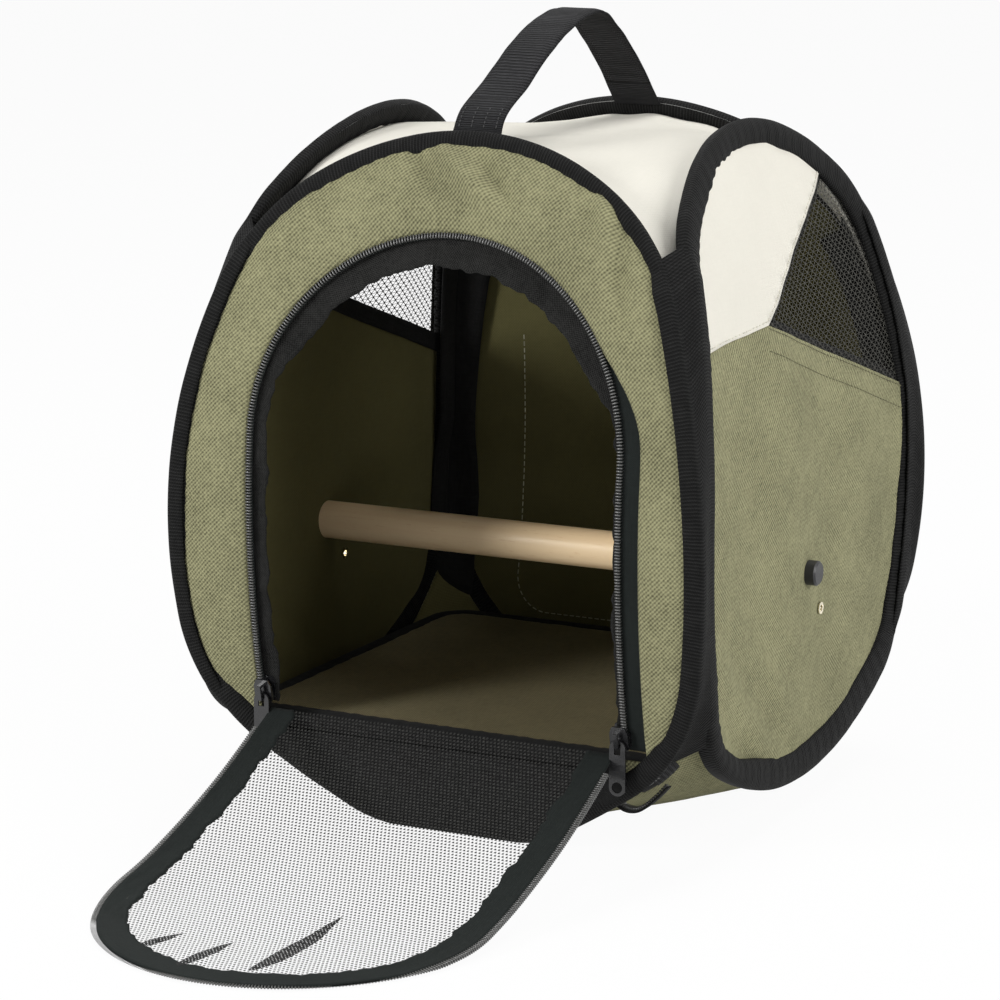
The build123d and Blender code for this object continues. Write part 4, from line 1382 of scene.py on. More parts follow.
@dataclass
class SideWall:
    """One side: olive cloth below, ivory cloth in the upper front corner and net behind it."""

    side: int
    cloth: float = 1.3 * MM
    joint: tuple[float, float] = (-0.035, 0.240)
    front: tuple[float, float] = (-0.113, 0.236)
    rear: tuple[float, float] = (0.130, 0.186)
    top: tuple[float, float] = (0.062, 0.294)
    tape_width: float = 9 * MM
    stitch_pitch: float = 3.5 * MM

    @property
    def name(self) -> str:
        """The side's name."""
        return "right" if self.side > 0 else "left"

    @property
    def wall(self) -> Wall:
        """The wall that this side lies in."""
        return side_wall(self.side)

    def bulge(self, depth: float, height: float) -> float:
        """How far the cloth strays from its bow: soft folds that run up from the lower corners."""
        swell = 1.6 * slack(depth, height * 0.45, 0.055, 20.0 + self.side)
        fine = 0.4 * slack(depth, height, 0.018, 24.0 + self.side)
        low_front = between(0.14, 0.04, height) * between(0.02, -0.10, depth)
        fold = 2.2 * math.sin((depth * 0.8 + height) * 2 * math.pi / 0.034) * low_front
        return (swell + fine + fold) * MM

    def piece(self, bounds: Sequence[tuple[tuple[float, float], tuple[float, float], int]],
              depth: float, size: int) -> bmesh.types.BMesh:
        """The part of the side's cloth between some seams.

        Args:
            bounds: For each seam, its two points and 1 to keep what is above it, or -1.
            depth: How far outside the wall's middle it lies.
            size: How many faces the whole side has each way.

        Returns:
            The new mesh.
        """
        shape = disc(self.wall, SIDE_HOOP, 4.5 * MM,
                     lambda across, height: depth + self.bulge(across, height), size)
        for (y0, z0), (y1, z1), keep in bounds:
            up = Vector((0.0, -(z1 - z0), y1 - y0)).normalized()
            up = up if up.z > 0 else -up
            sliced(shape, Vector((0.0, y0, z0)), -up if keep > 0 else up)
        return shape

    def row(self, end: tuple[float, float], shift: float, depth: float) -> list[Footing]:
        """A row of stitches beside a seam that starts at the joint.

        Args:
            end: The seam's other end.
            shift: How far above the seam the row is.
            depth: How far outside the wall's middle it lies.

        Returns:
            Where the stitches are.
        """
        run, pitch = Vector(end) - Vector(self.joint), self.stitch_pitch
        up = Vector((-run.y, run.x)).normalized()
        up = up if up.y > 0 else -up
        heading, places = math.atan2(run.y, run.x), []
        for index in range(int(run.length / pitch)):
            spot = Vector(self.joint) + run * ((index + 0.5) * pitch / run.length) + up * shift
            places.append(self.wall.footing(spot.x, spot.y, heading,
                                            depth + self.bulge(spot.x, spot.y)))
        return places

    def tape(self, end: tuple[float, float], depth: float) -> bmesh.types.BMesh:
        """A straight tape along a seam that starts at the joint."""
        run, width = Vector(end) - Vector(self.joint), self.tape_width
        up = Vector((-run.y, run.x)).normalized()

        def placing(along: float, across: float) -> Place:
            """A point of the tape and of its map."""
            spot = Vector(self.joint) + run * along + up * (across - 0.5) * width
            return (self.wall.place(spot.x, spot.y, depth + self.bulge(spot.x, spot.y)),
                    (along * run.length, across * width))

        return bent_grid(round(run.length / (2.5 * MM)), 4, placing)

    def build(self, shop: Workshop) -> None:
        """Make the three cloths, their seams and stitches."""
        casing, name = f"{self.name}_hoop_casing", self.name
        low_front, low_rear = (self.joint, self.front, -1), (self.joint, self.rear, -1)
        shop.add(f"{name}_side_panel", self.piece([low_front, low_rear], 0.0, 80), OLIVE_SIDE,
                 f"{name}_side_panel", thickness=self.cloth, held=Held.STRETCHED,
                 rests_on=[casing], shaded_inside=OLIVE_INSIDE_SHADED)
        shop.add(f"{name}_corner_panel",
                 self.piece([(self.joint, self.front, 1), (self.joint, self.top, 1)],
                            0.15 * MM, 64),
                 IVORY_CANVAS, f"{name}_corner_panel", thickness=self.cloth,
                 held=Held.STRETCHED, rests_on=[casing])
        shop.add(f"{name}_side_mesh",
                 self.piece([(self.joint, self.rear, 1), (self.joint, self.top, -1)],
                            -0.5 * MM, 64),
                 SIDE_NET, f"{name}_side_mesh", held=Held.STRETCHED, rests_on=[casing])
        rear_end = self._beyond(self.rear, -0.03)
        top_end = self._beyond(self.top, 0.12)
        shop.add(f"{name}_seam_tape", self.tape(rear_end, -1.5 * MM), BLACK_CLOTH,
                 f"{name}_seam_tape", thickness=0.6 * MM)
        shop.add(f"{name}_upper_seam_tape", self.tape(top_end, -1.6 * MM), BLACK_CLOTH,
                 thickness=0.6 * MM)
        for part, thread, rows in (
                ("panel", OLIVE_THREAD, ((rear_end, -1.6 * MM, 0.75 * MM),
                                         (rear_end, -12.0 * MM, 0.75 * MM))),
                ("corner", IVORY_THREAD, ((self.front, 1.6 * MM, 0.9 * MM),
                                          (top_end, 1.6 * MM, 0.9 * MM)))):
            sewn = [place for row in rows for place in self.row(*row)]
            shop.add(f"{name}_{part}_stitches", stitches(sewn), thread)

    def _beyond(self, end: tuple[float, float], share: float) -> tuple[float, float]:
        """The point a share of the seam's length past its end."""
        return (end[0] + share * (end[0] - self.joint[0]),
                end[1] + share * (end[1] - self.joint[1]))


@dataclass
class Sheet:
    """A sheet between all four hoops: it follows the end hoops and is level in its middle."""

    upper: bool
    middle: float
    inset: float
    lift: float
    corner_rise: float = 0.0

    def middle_at(self, across: float) -> float:
        """Height of the sheet half way between the end hoops."""
        beyond = max(0.0, abs(across) - FRONT_HOOP.flat) / 0.099
        return self.middle + self.corner_rise * beyond**1.8

    def edge_at(self, across: float) -> float:
        """Height of the sheet at the end hoops."""
        if not self.upper and abs(across) < FRONT_HOOP.flat:
            return self.middle
        edge = FRONT_HOOP.edge(across, self.inset, self.upper)
        soft = 1.0 if self.upper else between(FRONT_HOOP.flat, 0.05, abs(across))
        return edge - (1 - soft) * self.inset

    def spot(self, across: float, share: float) -> tuple[float, float]:
        """Depth and height of the sheet, `share` of the way from its middle to an end hoop."""
        edge, middle = self.edge_at(across), self.middle_at(across)
        height = middle + (edge - middle) * share**2
        return share * (FRONT.face_at(edge, -3.8 * MM) - 0.3 * MM), height

    def reach(self, share: float) -> float:
        """How far the sheet runs to each side wall."""
        limit, wall = 0.105, side_wall(1)
        for _ in range(8):
            _, height = self.spot(limit, share)
            limit = wall.face_at(height, -3.6 * MM)
        return limit

    def cloth(self, columns: int, rows: int, sag: Callable[[float, float], float],
              low: float = -1.0, high: float = 1.0) -> bmesh.types.BMesh:
        """The sheet's mesh.

        Args:
            columns: How many faces it has from side to side.
            rows: How many faces it has from front to back.
            sag: How far it strays upwards, from the place across and the depth.
            low: The share of the way to the front hoop where it starts, from -1.
            high: The share of the way to the rear hoop where it ends.

        Returns:
            The new mesh.
        """
        shares = [low + (high - low) * row / rows for row in range(rows + 1)]
        reach = [self.reach(abs(share)) for share in shares]

        def placing(side: float, row: float) -> Place:
            """A point of the sheet and of its map."""
            index = round(row * rows)
            across = (2 * side - 1) * reach[index]
            depth, height = self.spot(across, abs(shares[index]))
            depth = math.copysign(depth, shares[index])
            return (Vector((across, depth, height + self.lift + sag(across, depth))),
                    (across, depth))

        return bent_grid(columns, rows, placing)


@dataclass
class Roof:
    """Ivory roof cloth between the tops of the hoops."""

    sheet: Sheet = field(default_factory=lambda: Sheet(True, 0.318, 9 * MM, 0.75 * MM))

    def sag(self, across: float, depth: float) -> float:
        """Soft creases that run in from the hoops."""
        edge = between(0.045, 0.100, abs(depth))
        creases = math.sin(across * 2 * math.pi / 0.031 + 2.5 * slack(across, depth, 0.08, 31.0))
        return (1.5 * slack(across, depth, 0.07, 30.0) + 0.55 * creases * edge
                + 0.3 * slack(across, depth, 0.02, 32.0)) * MM

    def build(self, shop: Workshop) -> None:
        """Make the roof."""
        shop.add("roof_panel", self.sheet.cloth(84, 84, self.sag), IVORY_ROOF, "roof_panel",
                 thickness=1.3 * MM, held=Held.STRETCHED,
                 rests_on=["front_hoop_casing", "rear_hoop_casing"])


@dataclass
class Base:
    """Olive base cloth, with the zipper that runs across behind the front hoop."""

    sheet: Sheet = field(default_factory=lambda: Sheet(False, 0.0, 4.5 * MM, 0.8 * MM,
                                                       17.5 * MM))
    zip_depth: float = 12 * MM
    zip_left: float = -0.098
    zip_right: float = 0.106
    tail_length: float = 45 * MM
    tail_width: float = 7 * MM
    tail_teeth: int = 26
    tooth: Vector = field(default_factory=lambda: Vector((0.8, 4.4, 1.5)) * MM)
    tooth_pitch: float = 1.5 * MM
    tail_path: tuple[Vector, ...] = (
        Vector((0.0830, -0.1110, 0.0290)), Vector((0.0900, -0.1125, 0.0255)),
        Vector((0.0970, -0.1130, 0.0262)), Vector((0.1030, -0.1115, 0.0310)),
        Vector((0.1085, -0.1090, 0.0375)))

    def sag(self, across: float, depth: float) -> float:
        """Creases of the base, which lies flat in its middle."""
        loose = between(0.03, 0.10, abs(across))
        return (0.8 * slack(across, depth, 0.05, 41.0) + 0.3 * slack(across, depth, 0.018, 42.0)
                ) * MM * loose

    def zip_spot(self, across: float, shift: float, drop: float, half: float) -> Vector:
        """A point along the base zipper.

        Args:
            across: Its place from side to side.
            shift: How far behind the zipper's line it is.
            drop: How far below the cloth it is.
            half: Half the thickness of what lies there, which stays off the ground.

        Returns:
            The point.
        """
        edge = self.sheet.edge_at(across)
        depth = -(FRONT.face_at(edge, 0.0) - self.zip_depth) + shift
        whole, _ = self.sheet.spot(across, 1.0)
        _, height = self.sheet.spot(across, min(1.0, abs(depth) / whole))
        return Vector((across, depth,
                       max(half + 0.05 * MM, height + self.sheet.lift - drop)))

    def band(self, left: float, right: float, width: float, drop: float,
             columns: int, half: float) -> bmesh.types.BMesh:
        """A strip of the zipper's tape."""
        def placing(along: float, across: float) -> Place:
            """A point of the strip and of its map."""
            x, shift = left + (right - left) * along, (across - 0.5) * width
            return self.zip_spot(x, shift, drop, half), (x, shift)

        return bent_grid(columns, 4, placing)

    def teeth(self) -> list[Footing]:
        """Where the base zipper's teeth are."""
        places, pitch = [], self.tooth_pitch
        for index in range(int((self.zip_right - self.zip_left) / pitch)):
            x = self.zip_left + (index + 0.5) * pitch
            here, ahead = (self.zip_spot(spot, 0.0, 1.1 * MM, self.tooth.z / 2)
                           for spot in (x, x + MM))
            along = (ahead - here).normalized()
            outward = along.cross(Vector((0.0, 1.0, 0.0))).normalized()
            places.append(Footing(here, along, outward if outward.z < 0 else -outward))
        return places

    def build(self, shop: Workshop) -> None:
        """Make the base, its zipper tape, teeth and end tab."""
        cloth = self.sheet.cloth(84, 60, self.sag)
        bmesh.ops.reverse_faces(cloth, faces=cloth.faces)
        shop.add("base_panel", cloth, OLIVE_CANVAS, "base_panel",
                 thickness=1.3 * MM, held=Held.STRETCHED,
                 rests_on=["front_hoop_casing", "rear_hoop_casing"], shaded_inside=OLIVE_INSIDE_SHADED)
        shop.add("base_zipper_tape",
                 self.band(self.zip_left - 4 * MM, self.zip_right + 4 * MM, 13 * MM, 0.5 * MM, 110,
                           0.4 * MM),
                 BLACK_CLOTH, "base_zipper_tape", thickness=0.8 * MM)
        shop.add("base_zipper_teeth", studs(self.teeth(), self.tooth, TOOTH_ROUNDING), NYLON,
                 "base_zipper_coil")
        self.tail(shop)
        shop.add("base_zipper_tab",
                 self.band(self.zip_right - 4 * MM, self.zip_right + 8 * MM, 9 * MM, 1.7 * MM, 10,
                           0.6 * MM),
                 WEBBING, "base_zipper_tab", thickness=1.2 * MM)

    def tail(self, shop: Workshop) -> None:
        """Make the zipper's loose end, which loops down beside the front hoop to its tab.

        Args:
            shop: Makes and counts the pieces.
        """
        def along_tail(share: float) -> Footing:
            """A place on the loose end."""
            place, heading = curve_at(self.tail_path, share)
            outward = heading.cross(Vector((0.0, 1.0, 0.0))).normalized()
            return Footing(place, heading, outward)

        def strip(along: float, across: float) -> Place:
            """A point of the loose end's tape and of its map."""
            spot = along_tail(along)
            side = spot.outward.cross(spot.along)
            return (spot.place + side * (across - 0.5) * self.tail_width - spot.outward * MM,
                    (along * self.tail_length, across * self.tail_width))

        shop.add("base_zipper_tail", bent_grid(30, 2, strip), BLACK_CLOTH, thickness=0.8 * MM)
        teeth = [along_tail((index + 0.5) / self.tail_teeth) for index in range(self.tail_teeth)]
        shop.add("base_zipper_tail_teeth",
                 studs(teeth, Vector((0.9, 4.2, 1.8)) * MM, 0.25 * MM), NYLON)


@dataclass
class FloorBoard:
    """Stiff board in olive cloth with a bound edge, lying loose on the base."""

    half_width: float = 0.119
    half_depth: float = 0.110
    corner: float = 0.020
    binding: float = 8 * MM
    low: float = 45.2 * MM
    high: float = 49.2 * MM

    def outline(self, share: float, inset: float) -> tuple[Vector, float]:
        """A point of the board's rounded outline.

        Args:
            share: How far round, from the middle of the front edge.
            inset: How far inside the outline.

        Returns:
            The point and its distance round the outline.
        """
        half_x, half_y = self.half_width - self.corner, self.half_depth - self.corner
        bend = math.pi / 2 * self.corner
        length = (share % 1.0) * self.length()
        rest, radius = length + half_x, self.corner - inset
        corners = ((-1, -1, 2 * half_x), (1, -1, 2 * half_y), (1, 1, 2 * half_x),
                   (-1, 1, 2 * half_y), (-1, -1, 2 * half_x))
        for index, (side, back, straight) in enumerate(corners):
            middle = Vector((side * half_x, back * half_y))
            turn = (index - 1) * math.pi / 2
            if index and rest <= bend:
                turn += rest / self.corner - math.pi / 2
                return middle + radius * Vector((math.cos(turn), math.sin(turn))), length
            rest -= bend if index else 0.0
            if rest <= straight:
                break
            rest -= straight
        out = Vector((math.cos(turn), math.sin(turn)))
        return middle + radius * out + rest * Vector((-out.y, out.x)), length

    def length(self) -> float:
        """The length of the board's outline."""
        return (4 * (self.half_width + self.half_depth - 2 * self.corner)
                + 2 * math.pi * self.corner)

    def top(self) -> bmesh.types.BMesh:
        """The board under its cloth, a closed slab."""
        middle, thick = (self.low + self.high) / 2, self.high - self.low - 0.6 * MM
        steps = 150

        def placing(round_it: float, inwards: float) -> Place:
            """A point of the slab's middle layer and of its map."""
            spot, _ = self.outline(round_it, 3 * MM)
            spot = spot * (1 - inwards)
            wave = 0.25 * MM * slack(spot.x, spot.y, 0.06, 51.0)
            return Vector((spot.x, spot.y, middle + wave)), (spot.x, spot.y)

        slab = bent_grid(steps, 18, placing)
        bmesh.ops.recalc_face_normals(slab, faces=slab.faces)
        bmesh.ops.solidify(slab, geom=slab.faces[:], thickness=thick)
        lift = middle + thick / 2 - max(vert.co.z for vert in slab.verts)
        bmesh.ops.translate(slab, verts=slab.verts, vec=Vector((0.0, 0.0, lift)))
        return closed(slab)

    def edge(self) -> bmesh.types.BMesh:
        """The ruffled binding round the board."""
        middle, half = (self.low + self.high) / 2, (self.high - self.low) / 2

        def skin(along: float, round_it: float) -> Vector:
            """A point of the binding."""
            turn, length = 2 * math.pi * round_it, along * self.length()
            loop = Vector((math.cos(2 * math.pi * along), math.sin(2 * math.pi * along))) * 0.14
            loose = slack(loop.x, loop.y, 0.010, 52.0)
            tuck = (1 - math.cos(turn)) / 2
            ruffle = math.sin(2 * math.pi * length / (8 * MM) + 2 * loose) * 0.18 * tuck
            spot, _ = self.outline(along, (self.binding + 0.7 * MM * loose) * tuck + 0.2 * MM)
            rise = math.copysign(abs(math.sin(turn)) ** 0.5, math.sin(turn))
            lift = 0.35 * MM if rise > 0 else 0.0
            return Vector((spot.x, spot.y, middle + rise * (half + lift) * (0.94 + ruffle * 0.5)))

        return swept(self.length(), 2.0 * MM, 14, skin, 20 * MM)

    def build(self, shop: Workshop) -> None:
        """Make the board and its binding."""
        shop.add("floor_board", self.top(), OLIVE_BOARD, "floor_board", body="board")
        shop.add("floor_board_binding", self.edge(), BLACK_CLOTH, "floor_board_binding",
                 body="board")


@dataclass
class Door:
    """Net door with a cloth border and its zipper half, folded down about the sill.

    Its pieces are drawn closed, in the front wall, and then folded.
    """

    angle: float = 105.9
    hinge_y: float = -0.12586
    hinge_z: float = 0.053
    foot: float = 0.0538
    teeth_foot: float = 0.066
    border: float = 13.5 * MM
    edge: float = 3.4 * MM
    reach: float = 0.225
    drop_out: float = 2.5 * MM
    drop_down: float = 1.6 * MM
    lowest: float = 1.3 * MM
    creases: tuple[tuple[float, float, float, float, float], ...] = (
        (-0.0396, 0.2440, -1.05, 0.026, 2.8), (-0.0118, 0.2510, -1.37, 0.036, 3.4),
        (0.0195, 0.2270, -1.48, 0.066, 4.6))

    def fold(self, spot: Vector) -> Vector:
        """Carry a point of the closed door to where it is when the door lies open."""
        hinge = Vector((0.0, self.hinge_y, self.hinge_z))
        out = math.hypot(spot.y - self.hinge_y, spot.z - self.hinge_z)
        folded = hinge + Matrix.Rotation(math.radians(self.angle), 4, "X") @ (spot - hinge)
        share = min(1.0, out / self.reach)
        loose = share * (1.2 * slack(spot.x, spot.z, 0.07, 61.0)
                         + 0.4 * slack(spot.x, spot.z, 0.03, 62.0)) * MM
        folded.y -= self.drop_out * share**2
        folded.z += loose * between(0.0, 0.2, share) - self.drop_down * share**2
        folded.z = max(self.lowest, folded.z)
        return folded

    def folded(self, shape: bmesh.types.BMesh) -> bmesh.types.BMesh:
        """The same mesh, carried to the open door."""
        for vert in shape.verts:
            vert.co = self.fold(vert.co)
        return shape

    def ridge(self, across: float, height: float) -> float:
        """How high the net stands beside its creases near the round end."""
        return sum(0.9 * MM * fold_at(across, height, x, z, turn, length, 1.5 * width * MM)
                   for x, z, turn, length, width in self.creases)

    def pleat(self, crease: tuple[float, float, float, float, float]) -> bmesh.types.BMesh:
        """A lens-shaped patch where the net lies doubled along a crease.

        Args:
            crease: The crease's middle, angle, length and width.

        Returns:
            The patch, folded down with the door.
        """
        x, z, turn, length, width = crease

        def placing(along: float, aside: float) -> Place:
            """A point of the patch and of its map."""
            half = width * MM * math.sin(math.pi * (0.04 + 0.96 * along)) ** 0.7 * (
                1.15 - 0.55 * along)
            bow = 1.6 * MM * math.sin(math.pi * along) + 0.5 * MM * slack(along, 0.0, 0.3, x)
            run, off = (along - 0.5) * length, (2 * aside - 1) * half + bow
            across = x + run * math.cos(turn) - off * math.sin(turn)
            height = z + run * math.sin(turn) + off * math.cos(turn)
            return (FRONT.place(across, height, -1.0 * MM - self.ridge(across, height)),
                    (across, height))

        return self.folded(bent_grid(30, 6, placing))

    def net(self) -> bmesh.types.BMesh:
        """The net inside the border."""
        grow = -self.edge - 8.5 * MM
        high, rows = ARCH.spring + ARCH.half + grow, 120

        def placing(share: float, rise: float) -> Place:
            """A point of the net and of its map."""
            bent = rise if rise < 0.6 else 0.6 + 0.4 * math.sin((rise - 0.6) / 0.4 * math.pi / 2)
            height = self.foot + (high - self.foot) * bent
            across = (2 * share - 1) * ARCH.half_at(height, grow)
            depth = -0.2 * MM - self.ridge(across, height)
            return FRONT.place(across, height, depth), (across, height)

        return self.folded(bent_grid(120, rows, placing))

    def band(self, wall: FrontWall) -> bmesh.types.BMesh:
        """The border, with a ragged inner edge."""
        def depth(length: float, across: float) -> float:
            """The border is thickest in its middle."""
            return (0.3 * math.sin(math.pi * across)
                    + 0.25 * slack(length, across, 0.012, 63.0)) * MM

        def ragged(length: float, across: float) -> float:
            """How far the inner edge strays."""
            return (1 - across) ** 2 * (1.7 * slack(length, 0.0, 0.016, 64.0)
                                        + 1.0 * slack(length, 0.0, 0.0045, 65.0)) * MM

        return self.folded(wall.strip(-self.edge - self.border, -self.edge, 8, self.foot, depth,
                                      ragged))

    def build(self, shop: Workshop) -> None:
        """Make the net, the border and the zipper half."""
        wall = FrontWall()
        shop.add("door_mesh", self.net(), DOOR_NET, "door_mesh", body="door",
                 held=Held.LAID, rests_on=["door_border"])
        for index, crease in enumerate(self.creases, 1):
            # The pleats are the doubled net, drawn darker: painted shade in the door's creases.
            shop.add(f"door_net_pleat_{index}", self.pleat(crease), PLEAT_NET, body="door")
        shop.add("door_border", self.band(wall), BORDER_CLOTH, "door_border", body="door",
                 thickness=1.3 * MM, held=Held.LAID, rests_on=["door_mesh"])
        shop.add("door_zipper_teeth", self.folded(wall.teeth(-1, self.teeth_foot)), NYLON,
                 "door_zipper_coil", body="door")


@dataclass
class CarryingStrap:
    """Webbing handle over the roof and the sewn ends that hold it."""

    width: float = 25 * MM
    thickness: float = 1.7 * MM
    length: float = 0.26
    front_cut: float = -0.0730
    rear_cut: float = 0.0755
    gap: float = 0.35 * MM
    path: tuple[Vector, ...] = tuple(Vector(spot) for spot in (
        (-0.0885, 0.3275), (-0.0815, 0.3370), (-0.0600, 0.3480), (-0.0370, 0.3610),
        (-0.0160, 0.3705), (0.0060, 0.3762), (0.0230, 0.3764), (0.0390, 0.3685),
        (0.0560, 0.3560), (0.0700, 0.3440), (0.0810, 0.3325), (0.0880, 0.3255)))

    def stretch(self, low: float, high: float) -> bmesh.types.BMesh:
        """The strap between two depths.

        Args:
            low: Where it starts, or minus infinity for the strap's own end.
            high: Where it ends, or infinity for the strap's own end.

        Returns:
            The closed mesh.
        """
        def placing(along: float, round_it: float) -> Place:
            """A point of the strap's skin and of its map."""
            turn = 2 * math.pi * round_it
            place, heading = curve_at(self.path, along)
            lift = Vector((-heading.y, heading.x))
            wavy = 0.35 * MM * slack(along, round_it, 0.05, 70.0)
            waist = 1 - 0.05 * math.sin(math.pi * along) + 0.02 * slack(along, 0.0, 0.1, 71.0)
            across = self.width / 2 * waist * math.copysign(abs(math.cos(turn)) ** 0.25,
                                                            math.cos(turn))
            rise = self.thickness / 2 * math.copysign(abs(math.sin(turn)) ** 0.5, math.sin(turn))
            cup = -1.1 * MM * (across / self.width * 2) ** 2 * math.sin(math.pi * along)
            point = place + lift * (rise + cup + wavy * math.sin(math.pi * along))
            return (Vector((across, point.x, point.y)),
                    (along * self.length, round_it * 2 * self.width))

        shape = bent_grid(120, 22, placing)
        for cut, away in ((low, -1.0), (high, 1.0)):
            if math.isfinite(cut):
                sliced(shape, Vector((0.0, cut, 0.0)), Vector((0.0, away, 0.0)))
        bmesh.ops.holes_fill(shape, edges=[edge for edge in shape.edges if edge.is_boundary],
                             sides=0)
        return closed(shape)

    def box_stitch(self) -> list[Footing]:
        """A rectangle of stitches through the front sewn end."""
        places = []
        for side in (-1, -0.33, 0.33, 1):
            for step in range(5):
                place, heading = curve_at(self.path, 0.035 + 0.015 * step)
                lift = Vector((0.0, -heading.y, heading.x))
                along = Vector((0.0, heading.x, heading.y))
                spot = Vector((side * self.width * 0.38, place.x, place.y))
                places.append(Footing(spot + lift * self.thickness * 0.55, along, lift))
        return places

    def build(self, shop: Workshop) -> None:
        """Make the strap, its sewn ends and their stitches."""
        shop.add("carry_handle", self.stretch(self.front_cut, self.rear_cut), WEBBING,
                 "carry_handle", body="handle")
        shop.add("front_handle_anchor", self.stretch(-math.inf, self.front_cut - self.gap),
                 WEBBING, "handle_anchors")
        shop.add("rear_handle_anchor", self.stretch(self.rear_cut + self.gap, math.inf),
                 WEBBING)
        shop.add("handle_stitches",
                 studs(self.box_stitch(), Vector((1.4, 0.45, 0.4)) * MM, 0.1 * MM),
                 BLACK_THREAD)


class Fittings:
    """The hard parts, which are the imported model's own nodes: perch, knobs, zipper sliders."""

    finishes: dict[str, Finish] = {
        "perch_screw": SCREW_STEEL, "perch_knob": KNOB_PLASTIC, "eyelet": BRASS,
        "zipper_slider": ENAMEL, "zipper_pull": ENAMEL, "hoop_spring": SPRING_STEEL}

    def build(self, shop: Workshop) -> None:
        """Dress the nodes."""
        shop.dress_node("perch_rod", DOWEL)
        for side in ("left", "right"):
            for part, finish in self.finishes.items():
                shop.dress_node(f"{side}_{part}", finish)
        for end in ("front", "rear"):
            shop.dress_node(f"{end}_hoop_spring", SPRING_STEEL)


# ------------------------------------------------------------------ studio
class Lamp(NamedTuple):
    """A soft lamp: where it is, how large and how strong."""

    name: str
    place: Vector
    size: float
    power: float


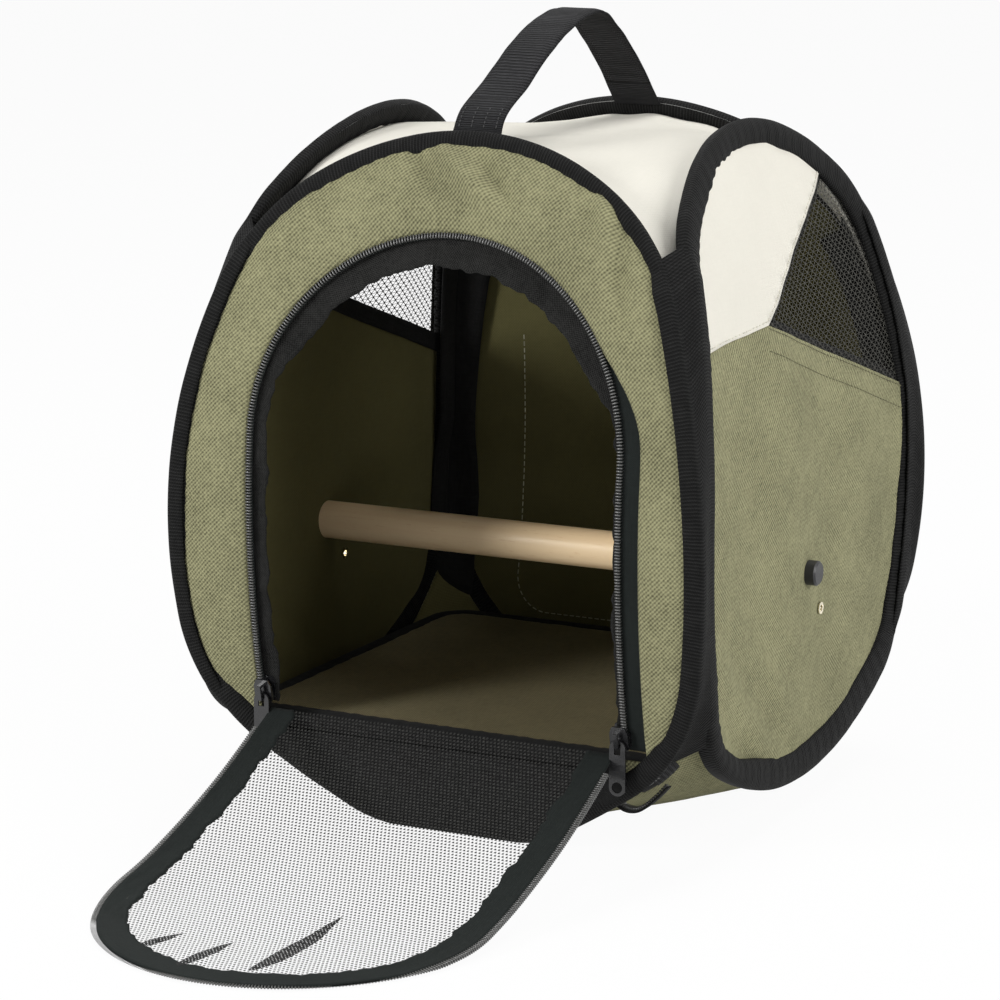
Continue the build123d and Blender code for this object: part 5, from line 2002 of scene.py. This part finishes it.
@dataclass
class Studio:
    """Pale floor, even white surroundings, soft lamps and the camera."""

    aim: Vector = field(default_factory=lambda: Vector((0.0, 0.0, 0.16)))
    camera_place: Vector = field(default_factory=lambda: Vector((0.771, -1.5972, 0.5143)))
    yaw: float = 26.70
    pitch: float = 11.94
    roll: float = 0.11
    lens: float = 133.4
    lamps: tuple[Lamp, ...] = (
        Lamp("key_lamp", Vector((-1.25, -2.0, 0.95)), 0.9, 43.0),
        Lamp("side_lamp", Vector((2.6, -0.5, 1.3)), 1.8, 50.0),
        Lamp("top_lamp", Vector((0.2, 0.5, 2.6)), 1.6, 31.0))
    world_fill: float = 0.22
    floor_glow: float = 0.95
    floor_grey: float = 0.86
    floor_radius: float = 14.0

    def camera(self) -> None:
        """Set up the camera."""
        lens = bpy.data.cameras.new("camera")
        lens.lens, lens.sensor_width = self.lens, 36.0
        camera = linked("camera", lens)
        turn = (Matrix.Rotation(math.radians(self.yaw), 4, "Z")
                @ Matrix.Rotation(math.radians(90 - self.pitch), 4, "X")
                @ Matrix.Rotation(math.radians(self.roll), 4, "Z"))
        camera.matrix_world = Matrix.Translation(self.camera_place) @ turn
        bpy.context.scene.camera = camera

    def light(self) -> None:
        """Hang the lamps."""
        for lamp in self.lamps:
            light = bpy.data.lights.new(lamp.name, "AREA")
            light.shape, light.size, light.energy = "DISK", lamp.size, lamp.power
            turn = (self.aim - lamp.place).to_track_quat("-Z", "Y").to_matrix().to_4x4()
            linked(lamp.name, light).matrix_world = Matrix.Translation(lamp.place) @ turn

    def surroundings(self) -> None:
        """Fill the world: white where it is seen or mirrored, weaker where it lights."""
        world = bpy.data.worlds.new("surroundings")
        bpy.context.scene.world = world
        world.use_nodes = True
        graph = Graph(world.node_tree)
        seen = self.seen(graph)
        background = graph.node("ShaderNodeBackground", {}, {
            "Color": (1.0, 1.0, 1.0, 1.0),
            "Strength": seen * (1.0 - self.world_fill) + self.world_fill})
        graph.node("ShaderNodeOutputWorld", {}, {"Surface": background})

    @staticmethod
    def seen(graph: Graph) -> Value:
        """1 for what the camera sees, directly, mirrored or through glass, and 0 for light."""
        path = graph.node("ShaderNodeLightPath")
        return path.most(path.output("Is Glossy Ray")).most(path.output("Is Transmission Ray"))

    def floor(self) -> None:
        """Lay the floor: white where it is seen, with the carrier's own soft shadow."""
        graph = Graph.of("studio_floor")
        matte = graph.node("ShaderNodeBsdfDiffuse", {},
                           {"Color": (*[self.floor_grey] * 3, 1.0)})
        glow = graph.node("ShaderNodeEmission", {},
                          {"Color": (1.0, 1.0, 1.0, 1.0), "Strength": 1.0})
        share = self.seen(graph) * self.floor_glow
        mixed = graph.node("ShaderNodeMixShader", {}, {0: share, 1: matte, 2: glow})
        graph.node("ShaderNodeOutputMaterial", {}, {"Surface": mixed})
        shape = bmesh.new()
        bmesh.ops.create_circle(shape, cap_ends=True, segments=64, radius=self.floor_radius)
        floor = mesh_object("floor", shape, graph.material)

    def build(self) -> None:
        """Set up the whole studio."""
        bpy.context.scene.view_settings.view_transform = "Standard"
        self.camera()
        self.light()
        self.surroundings()
        self.floor()


FRONT_TAPE_WIDTHS = ((0.0, 11.0), (0.10, 11.0), (0.20, 8.0), (0.38, 7.6), (0.50, 8.4),
                     (0.60, 11.0), (0.72, 13.0), (0.86, 12.5), (1.0, 11.0))
SIDE_TAPE_WIDTHS = ((0.0, 15.5), (0.10, 19.0), (0.18, 15.0), (0.26, 12.0), (0.38, 14.5),
                    (0.50, 11.5), (0.58, 14.0), (0.68, 17.0), (0.82, 17.0), (0.90, 12.5),
                    (0.95, 15.5), (1.0, 15.5))
SIDE_TAPE_DEPTHS = ((0.0, 7.6), (0.80, 7.6), (0.87, 11.0), (0.93, 10.0), (1.0, 7.6))


def main() -> None:
    """Build the carrier, one sub-assembly after another, and the studio round it."""
    logging.basicConfig(level=logging.INFO, format="%(name)s: %(message)s", stream=sys.stdout)
    shop = Workshop()
    casings = (HoopCasing("front_hoop_casing", FRONT, FRONT_HOOP, 101.0, FRONT_TAPE_WIDTHS),
               HoopCasing("rear_hoop_casing", REAR, FRONT_HOOP, 102.0),
               HoopCasing("left_hoop_casing", side_wall(-1), SIDE_HOOP, 103.0,
                          SIDE_TAPE_WIDTHS, SIDE_TAPE_DEPTHS),
               HoopCasing("right_hoop_casing", side_wall(1), SIDE_HOOP, 104.0,
                          SIDE_TAPE_WIDTHS, SIDE_TAPE_DEPTHS))
    corners = tuple(CornerTape(end, side, 110.0 + index) for index, (end, side) in enumerate(
        ((FRONT, -1), (FRONT, 1), (REAR, -1), (REAR, 1))))
    for part in (*casings, *corners):
        part.build(shop)
    for part in (FrontWall(), RearWall(), SideWall(-1), SideWall(1), Roof(), Base(),
                 FloorBoard(), Door(), CarryingStrap(), Fittings()):
        part.build(shop)
    Studio().build()
    LOG.info("%d pieces", shop.made)


if __name__ == "__main__":
    main()
